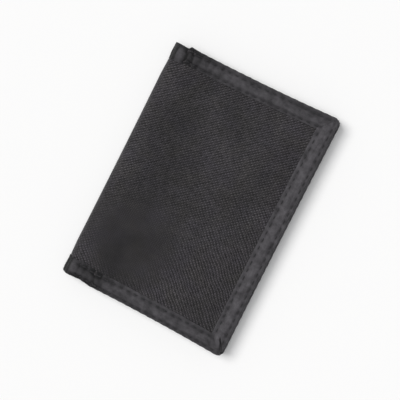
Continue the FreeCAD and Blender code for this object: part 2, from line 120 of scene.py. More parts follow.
def arch(share):  # 0 at both ends, 1 in the middle
    return 1 - (2 * share - 1) ** 2


def bowAt(across):  # the same over the wallet's height
    return 1 - (across / halfHeight) ** 2


def spreadAt(along):  # 0 where the layers close up round the fold, 1 where they lie flat on a cover
    return rise(along, quarter - 1, 7)


def stacked(*columns):
    return np.stack(columns, axis=1)


def ripple(x, y, length, seed):  # gentle waves of about that length in all directions, within about 1
    pick = np.random.default_rng(seed)
    total = 0
    for _ in range(7):
        heading, phase, stretch = pick.uniform(0, 2 * math.pi), pick.uniform(0, 2 * math.pi), pick.uniform(0.7, 1.5)
        reach = 2 * math.pi / (length * stretch)
        total = total + np.sin((x * math.cos(heading) + y * math.sin(heading)) * reach + phase)
    return total / 3.5


def wrap(along, across, depth, side):  # a place on a cover, from its distance to mid-spine and its depth
    turn = np.clip(along / bendRadius, 0, math.pi / 2)
    radius = middle - depth
    x = foldX - radius * np.cos(turn) + np.maximum(along - quarter, 0)
    x = x + sideBow["spine"] * bowAt(across) * fade(along, 0, 25)
    z = middle + side * radius * np.sin(turn)
    return np.stack([x, across + 0 * x, z], axis=-1)


def alongAt(x):
    return x - foldX + quarter


# modelling helpers

def clearSelection():
    if bpy.context.object and bpy.context.object.mode != "OBJECT":
        bpy.ops.object.mode_set(mode="OBJECT")
    bpy.ops.object.select_all(action="DESELECT")


def selectOnly(piece):
    clearSelection()
    piece.select_set(True)
    bpy.context.view_layer.objects.active = piece


def editAll(piece):  # edit mode with the whole piece selected
    selectOnly(piece)
    bpy.ops.object.mode_set(mode="EDIT")
    bpy.ops.mesh.select_all(action="SELECT")


def doneEditing():
    bpy.ops.object.mode_set(mode="OBJECT")


def turnOver(piece):
    editAll(piece)
    bpy.ops.mesh.flip_normals()
    doneEditing()


def joinTo(piece, other):
    selectOnly(piece)
    other.select_set(True)
    bpy.ops.object.join()


def nameIt(piece, name):
    piece.name = name
    piece.data.name = name
    return piece


def readPoints(piece):
    points = np.empty(len(piece.data.vertices) * 3)
    piece.data.vertices.foreach_get("co", points)
    return points.reshape(-1, 3)


def writePoints(piece, points):
    piece.data.vertices.foreach_set("co", np.ascontiguousarray(points, dtype=np.float32).ravel())
    piece.data.update()


def layCloth(piece, lengths):  # a UV map in millimetres, so that weave and ribs follow the cloth
    layer = piece.data.uv_layers.get("cloth") or piece.data.uv_layers.new(name="cloth")
    corners = np.empty(len(piece.data.loops), dtype=np.int32)
    piece.data.loops.foreach_get("vertex_index", corners)
    layer.data.foreach_set("uv", np.ascontiguousarray(lengths[corners], dtype=np.float32).ravel())
    for other in [layer for layer in piece.data.uv_layers if layer.name != "cloth"]:
        piece.data.uv_layers.remove(other)


def newSheet(name, columns, rows, place, turned=False):  # a grid whose points place() puts where the cloth lies
    clearSelection()
    bpy.ops.mesh.primitive_grid_add(x_subdivisions=columns, y_subdivisions=rows, size=1)
    piece = nameIt(bpy.context.object, name)
    shares = readPoints(piece)[:, :2] + 0.5
    points, lengths, *shade = place(shares[:, 0], shares[:, 1])
    writePoints(piece, points * millimetre)
    layCloth(piece, lengths)
    if shade:  # how much darker each point is painted, for the shade in creases, seams and round the fold
        layer = piece.data.attributes.new("shade", "FLOAT", "POINT")
        layer.data.foreach_set("value", np.ascontiguousarray(shade[0], dtype=np.float32))
    if turned:
        turnOver(piece)
    return piece


def thicken(piece, amount):  # gives a sheet its thickness behind the face that shows
    selectOnly(piece)
    wall = piece.modifiers.new("thickness", "SOLIDIFY")
    wall.thickness = amount * millimetre
    wall.offset = -1
    bpy.ops.object.modifier_apply(modifier=wall.name)


def roundEdges(piece, amount, segments=2):
    selectOnly(piece)
    edge = piece.modifiers.new("rounded", "BEVEL")
    edge.width = amount * millimetre
    edge.segments = segments
    edge.limit_method = "ANGLE"
    edge.angle_limit = math.radians(40)
    bpy.ops.object.modifier_apply(modifier=edge.name)


def smoothShade(piece, degrees=45):
    selectOnly(piece)
    bpy.ops.object.shade_smooth_by_angle(angle=math.radians(degrees))


def makeCloth(piece, amount, degrees=45):
    thicken(piece, amount)
    smoothShade(piece, degrees)


def dress(piece, material, nodes):
    piece.data.materials.clear()
    piece.data.materials.append(material)
    if nodes:
        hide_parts(*nodes)


def finishPiece(piece, material, body, nodes=()):  # a piece that moves with one body
    dress(piece, material, nodes)
    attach(piece, body)
    return piece


def bendAtSpine(piece, cover):  # bakes the placing of the half of a cloth that turns from the spine to one cover; the bend is already in its points
    if cover["name"] == "front":
        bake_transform(piece)
    else:
        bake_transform(piece)


def finishBent(piece, material, cover, nodes=()):
    dress(piece, material, nodes)
    bendAtSpine(piece, cover)
    return piece


# materials

class Paint:  # a material's node tree, built up a node at a time
    def __init__(self, name, roughness, **fixed):
        self.material = bpy.data.materials.new(name)
        self.material.use_nodes = True
        self.tree = self.material.node_tree
        self.shader = self.tree.nodes["Principled BSDF"]
        self.shader.inputs["Roughness"].default_value = roughness
        for socket, amount in fixed.items():
            self.shader.inputs[socket.replace("_", " ")].default_value = amount

    def node(self, kind, **fixed):
        made = self.tree.nodes.new(kind)
        for field, amount in fixed.items():
            setattr(made, field, amount)
        return made

    def plug(self, socket, source):
        if hasattr(source, "is_output"):
            self.tree.links.new(source, socket)
        else:
            socket.default_value = source

    def calc(self, operation, first, second=0.0, third=0.0, clamp=False):
        made = self.node("ShaderNodeMath", operation=operation, use_clamp=clamp)
        for socket, source in zip(made.inputs, (first, second, third)):
            self.plug(socket, source)
        return made.outputs[0]

    def times(self, first, second):
        return self.calc("MULTIPLY", first, second)

    def line(self, source, slope, start, clamp=False):
        return self.calc("MULTIPLY_ADD", source, slope, start, clamp)

    def ridge(self, source):  # a round ridge from each whole number to the next
        return self.calc("ABSOLUTE", self.calc("SINE", self.times(source, math.pi)))

    def cloth(self):  # the two directions of the cloth, in millimetres
        parts = self.node("ShaderNodeSeparateXYZ")
        self.plug(parts.inputs[0], self.node("ShaderNodeUVMap", uv_map="cloth").outputs[0])
        return parts.outputs[0], parts.outputs[1]

    def place(self):
        return self.node("ShaderNodeTexCoord").outputs["Object"]

    def noise(self, coordinates, scale, detail=2.0, roughness=0.5):
        made = self.node("ShaderNodeTexNoise")
        self.plug(made.inputs["Vector"], coordinates)
        for socket, amount in (("Scale", scale), ("Detail", detail), ("Roughness", roughness)):
            made.inputs[socket].default_value = amount
        return made.outputs[0]

    def vector(self, x, y, z=0.0):
        made = self.node("ShaderNodeCombineXYZ")
        for socket, source in zip(made.inputs, (x, y, z)):
            self.plug(socket, source)
        return made.outputs[0]

    def mix(self, share, first, second):  # between two colours
        made = self.node("ShaderNodeMix", data_type="RGBA")
        self.plug(made.inputs[0], share)
        for socket, colour in ((made.inputs[6], first), (made.inputs[7], second)):
            self.plug(socket, colour if hasattr(colour, "is_output") else (*colour, 1.0))
        return made.outputs[2]

    def product(self, first, second):
        made = self.node("ShaderNodeVectorMath", operation="MULTIPLY")
        self.plug(made.inputs[0], first)
        self.plug(made.inputs[1], second)
        return made.outputs[0]

    def relief(self, height, depth):  # depth in millimetres
        bump = self.node("ShaderNodeBump")
        bump.inputs["Strength"].default_value = 1.0
        bump.inputs["Distance"].default_value = depth * millimetre
        self.plug(bump.inputs["Height"], height)
        self.plug(self.shader.inputs["Normal"], bump.outputs[0])

    def colour(self, source):
        self.plug(self.shader.inputs["Base Color"], source)


weaveLook = {
    "drift": (0.12, 1.5),  # how closely and how far the threads wander
    "floats": (1.0, -0.45),  # how strongly the threads' twist shows along the two slants, on cloth without wear
    "tone": (0.5, -0.04),  # how much paler a thread on top is, painted for the sheen it catches, and where the dark ones start
    "luck": 0.34,  # how much one thread differs from the next
    "fibre": 0.24,
    "gap": 0.4,  # how much light is left between the threads
    "round": 0.6,  # less is a flatter thread
    "mottle": (62.0, 3.5, 0.6, 1.15),  # scale, detail, roughness and strength of the paler and darker places
    "flatTone": 0.36,  # tone where the threads have gone flat
    "tintScale": 95.0,
    "tints": ((1.02, 1.0, 0.96), (0.99, 0.965, 1.04)),
}


def wovenCloth(name, pitch, skew, dark, light, roughness, relief, wearAndShade=None):
    # plain weave: each thread passes over and under its neighbours, and its floats lean with their twist
    look = weaveLook
    paint = Paint(name, roughness, Sheen_Weight=0.06, Sheen_Roughness=0.5, Specular_IOR_Level=0.2)
    along, across = paint.cloth()
    closeness, reach = look["drift"]
    drift = paint.noise(paint.vector(along, across), closeness)
    drift = paint.times(paint.calc("SUBTRACT", drift, 0.5), reach)
    warp = paint.line(paint.line(across, -skew, along), 1 / pitch[0], drift)
    weft = paint.line(across, 1 / pitch[1], drift)
    height = paint.times(*(paint.calc("POWER", paint.ridge(threads), look["round"]) for threads in (warp, weft)))
    oneWay, otherWay = (paint.calc("COSINE", paint.times(paint.calc(slant, warp, weft), math.pi))
                        for slant in ("SUBTRACT", "ADD"))
    oneShare, otherShare = look["floats"]
    if wearAndShade:
        start, perAlong, perAcross = wearAndShade["lean"]
        lean = paint.line(along, perAlong, paint.line(across, perAcross, start), clamp=True)
        lean = paint.times(lean, lean)
        oneShare, otherShare = (paint.line(lean, change, first) for first, change in wearAndShade["floats"])
    over = paint.line(otherWay, otherShare, paint.line(oneWay, oneShare, 0.5), clamp=True)  # 1 where warp is on top
    luck = paint.node("ShaderNodeTexWhiteNoise", noise_dimensions="2D")
    paint.plug(luck.inputs["Vector"], paint.vector(paint.calc("FLOOR", warp), paint.calc("FLOOR", weft)))
    fibre = paint.noise(paint.vector(paint.times(warp, 6.0), paint.times(weft, 2.0)), 1.0, 3.0)
    tone = paint.line(luck.outputs[0], look["luck"], paint.line(over, *look["tone"]))
    tone = paint.line(fibre, look["fibre"], tone)
    tone = paint.calc("MULTIPLY", tone, paint.line(height, 1 - look["gap"], look["gap"]), clamp=True)
    *mottle, strength = look["mottle"]
    brightness = paint.line(paint.noise(paint.place(), *mottle), strength, 1 - strength / 2)
    if wearAndShade:
        # bands of painted light and shade along the spine, partly wear
        for at, width, amount in wearAndShade["bands"]:
            offset = paint.line(along, 1 / width, -at / width)
            band = paint.calc("DIVIDE", 1.0, paint.line(offset, offset, 1.0))
            brightness = paint.line(band, amount, brightness)
        # a darker, flatter place: painted shade of a dent, partly wear
        spotX, spotY, spotWidth, spotDark, spotFlat = wearAndShade["spot"]
        aside = paint.line(along, 1 / spotWidth, -spotX / spotWidth)
        above = paint.line(across, 1 / spotWidth, -spotY / spotWidth)
        spread = paint.line(above, above, paint.times(aside, aside))
        spot = paint.calc("DIVIDE", 1.0, paint.calc("ADD", paint.calc("POWER", spread, 3.0), 1.0))
        brightness = paint.line(spot, -spotDark, brightness)
        flatter = paint.calc("SUBTRACT", look["flatTone"], tone)
        tone = paint.line(flatter, paint.times(spot, spotFlat), tone)
    hue = paint.line(paint.noise(paint.place(), look["tintScale"]), 3.0, -1.0, clamp=True)
    tint = paint.node("ShaderNodeVectorMath", operation="SCALE")
    paint.plug(tint.inputs[0], paint.mix(hue, *look["tints"]))
    paint.plug(tint.inputs["Scale"], brightness)
    paint.colour(paint.product(paint.mix(tone, dark, light), tint.outputs[0]))
    paint.relief(paint.line(fibre, 0.2, height), relief)
    return paint.material


tapeLook = {
    "wobble": (0.5, 0.8),  # how closely and how far the ribs wander
    "warpPitch": 0.8,  # parts of a rib
    "streaks": (0.12, 0.35),  # how long they are drawn, and how much they show
    "patches": (260.0, 3.0, 0.65),  # scale, detail and roughness of the paler and darker patches
    # colour of the painted shade
    "paintedShade": (0.006, 0.006, 0.0065),
    "relief": 0.12,
}


def ribbedTape(name, rib, dark, light, roughness, sheen=0.1, specular=0.4, shaded=False):
    # close ribs across the tape, with the fine lines of its warp
    look = tapeLook
    paint = Paint(name, roughness, Sheen_Weight=sheen, Sheen_Roughness=0.35, Specular_IOR_Level=specular)
    along, across = paint.cloth()
    closeness, reach = look["wobble"]
    wobble = paint.noise(paint.vector(along, across), closeness)
    ribs = paint.ridge(paint.line(along, 1 / rib, paint.times(wobble, reach)))
    warp = paint.ridge(paint.times(across, 1 / (rib * look["warpPitch"])))
    drawn, streakShare = look["streaks"]
    streaks = paint.noise(paint.vector(paint.times(along, drawn), across), 1.6, 3.0, 0.6)
    height = paint.line(warp, 0.3, paint.times(ribs, 0.7))
    patches = paint.line(paint.noise(paint.place(), *look["patches"]), 2.4, -0.9)
    share = paint.line(height, 0.25, paint.times(patches, 0.6))
    colour = paint.mix(paint.line(streaks, streakShare, share, clamp=True), dark, light)
    if shaded:
        # the shade attribute paints shade into the colour
        shade = paint.node("ShaderNodeAttribute", attribute_name="shade").outputs["Fac"]
        colour = paint.mix(shade, colour, look["paintedShade"])
    paint.colour(colour)
    paint.relief(paint.line(streaks, 0.4, height), look["relief"])
    return paint.material


def sewingThread(name, dark, light):
    paint = Paint(name, 0.5, Sheen_Weight=0.1, Specular_IOR_Level=0.4)
    along, across = paint.cloth()
    twist = paint.calc("SINE", paint.times(paint.calc("ADD", along, across), 14.0))
    twist = paint.line(twist, 0.5, 0.5)
    paint.colour(paint.mix(twist, dark, light))
    paint.relief(twist, 0.05)
    return paint.material


def grainy(name, dark, light, roughness, scale, relief, metallic=0.0, **fixed):  # foam, moulded or plated pieces
    paint = Paint(name, roughness, Metallic=metallic, **fixed)
    grain = paint.noise(paint.place(), scale, 4.0, 0.6)
    paint.colour(paint.mix(paint.line(grain, 1.6, -0.3, clamp=True), dark, light))
    paint.relief(grain, relief)
    return paint.material


print("materials")
coverWearAndShade = {
    # paler and darker bands along the spine, painted light and shade of the hump and valley there, partly wear: place
    # from mid-spine, width, how much paler
    "bands": [(7.5, 4.0, 0.2), (25.0, 7.0, -0.24), (48.0, 16.0, 0.06)],
    "spot": (26.5, -33.0, 19.0, 0.14, 0.95),  # a flatter, darker place, painted shade of the dent there and partly wear: along, across, width, how much darker, how flat
    # the floats lean one way by the note opening and the other way by the lower open corner
    "lean": (0.03, 1 / 120, -1 / 75),  # at mid-spine, and its change per millimetre along and across
    "floats": ((0.8, -0.7), (-0.15, -0.75)),  # strength of each slant without lean, and its change with lean
}
shellCloth = wovenCloth("shellCloth", (0.935, 0.861), 0.12, (0.003, 0.003, 0.0033), (0.0725, 0.0685, 0.0735),
                        0.62, 0.16, coverWearAndShade)
bindingTape = ribbedTape("bindingTape", 0.34, (0.017, 0.0164, 0.018), (0.132, 0.1253, 0.1365), 0.55, sheen=0.06,
                         specular=0.2, shaded=True)
coverThread = sewingThread("coverThread", (0.004, 0.004, 0.0045), (0.016, 0.015, 0.018))
liningCloth = wovenCloth("liningCloth", (0.3, 0.3), 0.0, (0.004, 0.004, 0.005), (0.026, 0.026, 0.029), 0.45, 0.03)
pocketCloth = wovenCloth("pocketCloth", (0.42, 0.42), 0.0, (0.005, 0.005, 0.006), (0.045, 0.043, 0.048), 0.55, 0.06)
hemTape = ribbedTape("hemTape", 0.3, (0.018, 0.017, 0.019), (0.06, 0.057, 0.062), 0.5)
zipTape = ribbedTape("zipTape", 0.45, (0.012, 0.012, 0.013), (0.034, 0.034, 0.037), 0.6)
foamBoard = grainy("foamBoard", (0.03, 0.03, 0.034), (0.06, 0.06, 0.066), 0.9, 1800.0, 0.1)
zipNylon = grainy("zipNylon", (0.012, 0.012, 0.013), (0.03, 0.03, 0.032), 0.38, 900.0, 0.01)
zipMetal = grainy("zipMetal", (0.13, 0.13, 0.135), (0.22, 0.215, 0.215), 0.42, 1400.0, 0.006, 1.0)
hookNylon = grainy("hookNylon", (0.010, 0.010, 0.011), (0.024, 0.024, 0.026), 0.5, 2500.0, 0.03)
loopNylon = grainy("loopNylon", (0.014, 0.014, 0.015), (0.045, 0.045, 0.049), 0.85, 5200.0, 0.25)
clearSheet = grainy("clearSheet", (0.88, 0.9, 0.92), (0.96, 0.97, 0.98), 0.2, 30.0, 0.003, 0.0,
                    Transmission_Weight=1.0, IOR=1.3)

# the covers' cloth

coverShape = {
    "spacing": 1.0,  # between grid lines
    "crown": 0.28,  # how far the cloth stands up between the binding's sides
    "hump": (13.0, 5.0, 0.55),  # place from mid-spine, width, height
    "valley": (23.0, 7.0, 0.5, 0.03),  # place, width, depth, slant
    "hollow": (30.0, -33.0, 15.0, 0.3),  # a soft dent near the spine's lower end: along, across, width, depth
    "dipBesideTape": 0.18,
    "unevenness": 0.12,
    "spinePuff": 0.4,  # how far the cloth stands out over the fold
    "bow": (40.0, 46.0),  # where the upper and lower edges draw in most, and how far that reaches
    "topPull": (1.1, 9.6, 1.0),  # how far the binding draws the spine's upper end in, where that ends, how gently
    "topLump": (0.3, 11.6, 1.5),  # the tape's fold just past it: height, place, width
    "lowPull": (0.8, 12.0, 7.0),
    "lowTip": (0.45, 0.0, 6.0),
}


def openAt(cover, across):  # length of the cover from mid-spine to its open edge
    return alongAt(cover["edge"]) - sideBow["open"] * bowAt(across)


def edgeAt(along, end):  # how far from the middle the wallet's upper (1) or lower (-1) edge is
    def pull(name):
        amount, start, over = coverShape[name]
        return amount * fade(along, start, over)

    bowMiddle, bowReach = coverShape["bow"]
    bow = np.maximum(1 - ((along - bowMiddle) / bowReach) ** 2, 0) * rise(along, 0, 12)
    flat = halfHeight - sideBow["ends"] * bow
    if end > 0:
        lump, lumpAt, lumpWidth = coverShape["topLump"]
        return flat - pull("topPull") + lump * bell(along - lumpAt, lumpWidth)
    return flat - pull("lowPull") - pull("lowTip")


def insetFrom(cover, along, across):  # distance from the nearest bound edge
    fromOpen = openAt(cover, across) - along
    return np.minimum(fromOpen, np.minimum(edgeAt(along, 1) - across, edgeAt(along, -1) + across))


def coverLift(cover, along, across):
    shape = coverShape
    inset = insetFrom(cover, along, across) - tapeWidth
    humpAt, humpWidth, humpRise = shape["hump"]
    valleyAt, valleyWidth, valleyDrop, valleySlant = shape["valley"]
    hollowAt, hollowY, hollowWidth, hollowDrop = shape["hollow"]
    lift = shape["crown"] + humpRise * bell(along - humpAt, humpWidth)
    lift = lift - valleyDrop * bell(along - valleyAt - valleySlant * across, valleyWidth)
    lift = lift - hollowDrop * bell(np.hypot(along - hollowAt, across - hollowY), hollowWidth)
    lift = lift + shape["unevenness"] * ripple(along, across, 26, 3) * rise(along, 0, 8)
    lift = lift * rise(inset, 0.3, 9)
    lift = lift - shape["dipBesideTape"] * bell(inset - 1.5, 1.6) * rise(along, 0, 9)
    lift = lift + shape["spinePuff"] * fade(along, 4, 8) * rise(inset, -0.3, 1)
    if cover["name"] == "back":
        lift = np.minimum(lift, shellDepth - 0.05)  # it lies on its back
    return lift


def spanSheet(cover, name, depthOnCover, depthAtSpine, edgeInset, spacing, lift=None, top=halfHeight):
    # a layer of cloth from mid-spine to the open edge; depthAtSpine is where it lies once the layers have closed up
    length = alongAt(cover["edge"]) - edgeInset

    def place(u, v):
        along = u * (length - sideBow["open"] * arch(v))
        upper = np.minimum(edgeAt(along, 1) - tapeThickness, top)
        lower = tapeThickness - edgeAt(along, -1)
        across = lower + v * (upper - lower)
        depth = depthAtSpine + (depthOnCover - depthAtSpine) * spreadAt(along)
        if lift is not None:
            depth = depth - lift(cover, along, across)
        return wrap(along, across, depth, cover["side"]), stacked(along, across)

    return newSheet(name, int(length / spacing), int(2 * halfHeight / spacing), place, turned=cover["side"] < 0)


def declareCloth(piece):  # reads its cut size from its map in millimetres and keeps nothing of it
    lengths = np.empty(len(piece.data.loops) * 2, dtype=np.float32)
    piece.data.uv_layers["cloth"].data.foreach_get("uv", lengths)
    width, length = (float(size) * millimetre for size in np.ptp(lengths.reshape(-1, 2), axis=0))
    if min(width, length) < 0.01:  # a narrow tape rather than a sheet
        return


for cover in covers.values():
    side = cover["name"]
    shell = spanSheet(cover, side + "CoverCloth", shellDepth, shellDepth, tapeThickness,
                      coverShape["spacing"], coverLift)
    makeCloth(shell, boardDepth - shellDepth)
    replaced = [side + "_shell"] + (["spine_shell"] if side == "front" else [])
    finishBent(shell, shellCloth, cover, replaced)
    declareCloth(shell)
print("cover cloth")

# the binding

tapeShape = {
    "spacing": 0.5,
    "rows": {"top": (2.2, 7.3), "open": (1.75, 6.8), "bottom": (1.6, 6.7)},  # outer and inner stitches, from the edge
    "puff": 0.5,  # how far the tape stands up between its rows
    "rowDip": 0.3,
    "edgeRound": 0.95,
    "cornerRound": 2.0,
    "depthAtSpine": 2.3,  # of the whole bound stack
    "stitchPitch": 4.05,
    "stitchLength": 2.9,
    "stitchWidth": 0.9,
    "pull": 0.12,  # how much deeper the tape lies where a stitch pulls
    "lip": 0.1,  # how far its edge inside the inner row stands up
    "rim": 0.06,  # and its side outside the outer row, between two stitches
    "unsewn": 0.35,  # share of the puff that is left where it isn't sewn
    "cornerClear": 1.2,  # from the last stitch to the corner
    "proud": {"front": 0.06, "back": -0.26},  # how far the stitches stand out; the back rests on them
    "pucker": 0.13,  # how far the edge bulges between two stitches
    "ripples": ((0.07, 7, 11), (0.06, 3, 12)),  # height, length and seed
    "sharp": (0.3, 4.0, 4.0),  # the edge's roundness at the spine's upper end, where it grows, over how far
    "bluntness": (1.25, 2.0),  # shape of the upper and lower open corner, 2 is a true round
    "firstStitch": {"top": 9.0, "bottom": 7.5},  # nearer the spine the tape is only folded over
}
# creases across the tape near the spine: place from mid-spine, height, width, slant
creases = {
    "top": [(10.3, -0.75, 0.7, 0.1), (11.9, 0.3, 0.7, -0.1), (13.4, -0.6, 0.6, 0.15), (15.4, 0.3, 0.8, 0.0),
            (17.4, -0.4, 0.6, -0.1), (19.6, 0.22, 0.9, 0.2), (21.8, -0.42, 0.7, 0.1), (25.0, -0.2, 0.8, -0.2),
            (29.5, -0.2, 1.0, 0.1), (34.0, 0.12, 1.6, 0.0), (2.6, -0.25, 0.6, 0.1), (5.6, 0.18, 1.6, 0.0)],
    "open": [],
    "bottom": [(18.6, -0.75, 0.9, -0.12), (21.0, 0.35, 0.8, 0.1), (23.4, -0.35, 0.7, 0.1), (27.0, -0.2, 0.8, 0.2),
               (12.5, -0.3, 0.7, 0.2), (9.4, -0.35, 0.5, 0.05), (6.6, 0.25, 1.4, 0.0), (3.4, -0.35, 0.7, 0.0),
               (32.0, 0.12, 1.5, 0.0), (38.0, -0.14, 1.0, 0.1)],
}
mitreFold = {"from": (40.0, -55.2), "to": (44.4, -62.8), "depth": 0.8, "width": 0.34, "step": 0.35}
tapePaintedShade = {  # how much darker the tape is painted: shade in its seams, creases, fold and mitre, on the upper and lower tapes, which catch less light, and some uneven darkening near the spine
    "rows": (0.2, 0.28),  # painted shade along a row of stitches, and more where a stitch pulls
    "rowWidths": (0.65, 0.75),
    "edge": 0.2,
    "lip": 0.1,  # beside the inner row
    "ends": 0.23,  # all over the upper and lower tape, painted shade as they catch less of the light than the open side's tape
    "creases": 0.45,
    "nearSpine": {"top": (0.34, 14.0, 14.0), "bottom": (0.36, 16.0, 16.0)},  # painted shade of the crinkled tape towards the spine: amount, where it fades, over how far
    "uneven": {"top": 0.0, "bottom": 0.2},
    "lighterPatch": {"top": 0.6, "bottom": 0.5},  # share of the painted shade that is left out beside the fold, a paler patch
    "lighterPatchAt": (7.2, 1.7),  # place and width
    # darker round the fold, partly painted shade and partly the tape's own colour: amount, where it ends, over how
    # far
    "fold": (0.88, 5.0, 0.8),
    "spots": {"top": (0.14, 11.5, 2.4, 0.0), "bottom": (0.7, 19.7, 2.2, 0.8)},  # painted shade in a crease: amount, place, width, roundness
    # painted shadow in the corner's mitre fold: amount, width
    "mitre": (1.1, 0.42),
    "most": 0.95,
}


def creased(part, along, offset):
    total = 0 * along
    for at, height, width, slant in creases[part]:
        total = total + height * bell(along - at - slant * (offset - 4), width)
    return total


def pullsOf(travel):  # 1 at the middle of each stitch, 0 half way to the next
    return 0.5 + 0.5 * np.cos(2 * math.pi * travel / tapeShape["stitchPitch"])


def mitreReach(along, across):  # distance to the side of the corner's fold, and how much of it is there
    fold = mitreFold
    fromX, fromY = alongAt(fold["from"][0]), fold["from"][1]
    toX, toY = alongAt(fold["to"][0]), fold["to"][1]
    length = math.hypot(toX - fromX, toY - fromY)
    unitX, unitY = (toX - fromX) / length, (toY - fromY) / length
    onward = (along - fromX) * unitX + (across - fromY) * unitY
    aside = (along - fromX) * -unitY + (across - fromY) * unitX
    return aside, smooth((onward + 0.6) / 1.2) * smooth((length + 3 - onward) / 1.2)


def mitreLift(along, across):  # a groove with its outer side standing over its inner side
    aside, within = mitreReach(along, across)
    groove = -mitreFold["depth"] * bell(aside, mitreFold["width"])
    ledge = mitreFold["step"] * smooth((aside + 0.05) / 0.5) * np.exp(-np.maximum(aside, 0) / 2.2)
    return (groove + ledge) * within


def tapeLift(part, travel, offset, along, across):  # how far the tape's outer face stands over its nominal place
    def onRows(width):
        return bell(offset - outer, width) + bell(offset - inner, width)

    shape = tapeShape
    outer, inner = shape["rows"][part]
    between = np.clip((offset - outer) / (inner - outer), 0, 1)
    stitched = 1.0
    if part in shape["firstStitch"]:
        stitched = rise(along, shape["firstStitch"][part] - 1.5, 2)
    pulls = pullsOf(travel) * stitched
    lift = shape["puff"] * np.sin(math.pi * between) ** 0.7 * (shape["unsewn"] + (1 - shape["unsewn"]) * stitched)
    lift = lift - shape["rowDip"] * onRows(0.5) * stitched - shape["pull"] * onRows(0.9) * pulls
    lift = lift + shape["lip"] * rise(offset, inner + 0.3, 1) * (1 - 0.5 * pulls)
    lift = lift + shape["rim"] * fade(offset, outer - 0.8, 0.8) * (1 - pulls)
    for height, length, seed in shape["ripples"]:
        lift = lift + height * ripple(along, across, length, seed)
    return lift + creased(part, along, offset) + mitreLift(along, across)


def tapeShade(part, travel, offset, along, across):  # painted shade in the seams, the creases, the fold and the corner's mitre
    paintedShade = tapePaintedShade
    outer, inner = tapeShape["rows"][part]
    (onRow, atStitch), (outerWidth, innerWidth) = paintedShade["rows"], paintedShade["rowWidths"]
    nearRow = bell(offset - outer, outerWidth) + bell(offset - inner, innerWidth)
    shade = (onRow + atStitch * pullsOf(travel)) * nearRow
    shade = shade + paintedShade["edge"] * fade(offset, outer - 0.6, 0.6) + paintedShade["lip"] * rise(offset, inner + 0.5, 0.8)
    if part != "open":
        amount, start, over = paintedShade["nearSpine"][part]
        shade = shade + paintedShade["creases"] * np.maximum(-creased(part, along, offset), 0) + paintedShade["ends"]
        shade = shade + amount * fade(along, start, over)
        shade = shade + paintedShade["uneven"][part] * ripple(along, across, 5, 14) * (along < 24)
        lighterPatchAt, width = paintedShade["lighterPatchAt"]
        lighterPatch = paintedShade["lighterPatch"][part] * bell(along - lighterPatchAt, width) * rise(offset, 0.9, 1.5)
        amount, start, over = paintedShade["fold"]
        shade = shade * (1 - lighterPatch) + amount * fade(along, start, over) * (0.45 + 0.55 * rise(along, 1, 2))
        amount, spotAt, spotWidth, roundness = paintedShade["spots"][part]
        shade = shade + amount * bell(np.hypot(along - spotAt, (offset - 7.3) * roundness), spotWidth)
    aside, within = mitreReach(along, across)
    amount, width = paintedShade["mitre"]
    return np.clip(shade + amount * bell(aside, width) * within, 0, paintedShade["most"])


def tapeDepth(cover, part, along, across):  # whole depth of the bound stack
    atSpine = tapeShape["depthAtSpine"]
    atTop = liningDepth + (insideDepth - dividerDepth) * 0.75 + tapeThickness
    onCover = stackDepth[cover["name"]] + tapeThickness
    if part == "top":
        onCover = atTop
    if part == "open":
        onCover = atTop + (onCover - atTop) * fade(across, dividerTop - 2, 4)
    return atSpine + (onCover - atSpine) * spreadAt(along)


def roundCorner(along, across, length):  # pulls the square corner of the edge's path in
    reach = tapeShape["cornerRound"]
    upper, lower = tapeShape["bluntness"]
    blunt = np.where(across > 0, upper, lower)
    beyondX = along - (length - reach)
    beyondY = np.abs(across) - (halfHeight - reach)
    corner = (beyondX > 0) & (beyondY > 0)
    x, y = np.maximum(beyondX, 1e-6), np.maximum(beyondY, 1e-6)
    shrink = np.maximum(x, y) / (x ** blunt + y ** blunt) ** (1 / blunt)
    return (np.where(corner, length - reach + beyondX * shrink, along),
            np.where(corner, np.sign(across) * (halfHeight - reach + beyondY * shrink), across))


def tapePlace(cover, part, share, offset, leg, curl):
    # leg is 0 on the outer face, 1 on the inner face; curl is how far the tape has turned round the edge
    length = alongAt(cover["edge"])
    if part == "top":  # the tape's edge is folded sharper at the spine's upper end
        least, start, over = tapeShape["sharp"]
        sharp = least + (1 - least) * rise(share * (length - offset), start, over)
        curl, offset = curl * sharp, np.where(curl > 0, offset * sharp, offset)
    if part == "open":
        travel = across = (1 - 2 * share) * (halfHeight - offset)
        along = openAt(cover, across) - offset
    else:
        end = 1 if part == "top" else -1
        travel = along = (share if end > 0 else 1 - share) * (length - offset)
        across = end * (edgeAt(along, end) - offset)
    whole = tapeDepth(cover, part, along, across)
    lift = tapeLift(part, travel, offset, along, across)
    if cover["name"] == "back":
        lift = np.minimum(lift, 0)  # it is pressed flat by what it lies on
    bulge = tapeShape["pucker"] * (0.5 - pullsOf(travel)) * smooth(1 - offset / 1.5)
    if part == "open":
        along = along + bulge
    else:
        across = across + np.sign(across) * bulge * rise(along, 9, 2)
    along, across = roundCorner(along, across, length)
    depth = np.where(leg < 0.5, curl - lift * np.clip(1 - curl, 0, 1), whole - curl + 0.5 * np.minimum(lift, 0.15))
    return along, across, depth, travel


def sectionRows(spacing):  # the tape's section as rows: offset from the edge, leg, turn round the edge
    edge = tapeShape["edgeRound"]
    legRows = int((tapeWidth - edge) / spacing)
    flat = [(tapeWidth - edge) * i / legRows for i in range(legRows + 1)]
    rows = [(tapeWidth - reach, 0, 0.0) for reach in flat]
    for leg, steps in ((0, range(1, 6)), (1, range(4, -1, -1))):
        for i in steps:
            turn = math.pi / 2 * i / 5
            rows.append((edge * (1 - math.sin(turn)), leg, edge * (1 - math.cos(turn))))
    return np.array(rows + [(edge + reach, 1, 0.0) for reach in flat[1:]])


def pickRow(table, share):
    return table[np.rint(share * (len(table) - 1)).astype(int)]


def girthOf(table):  # length round a section, from its first row
    return np.cumsum(np.hypot(*np.diff(table, axis=0, prepend=table[:1]).T))


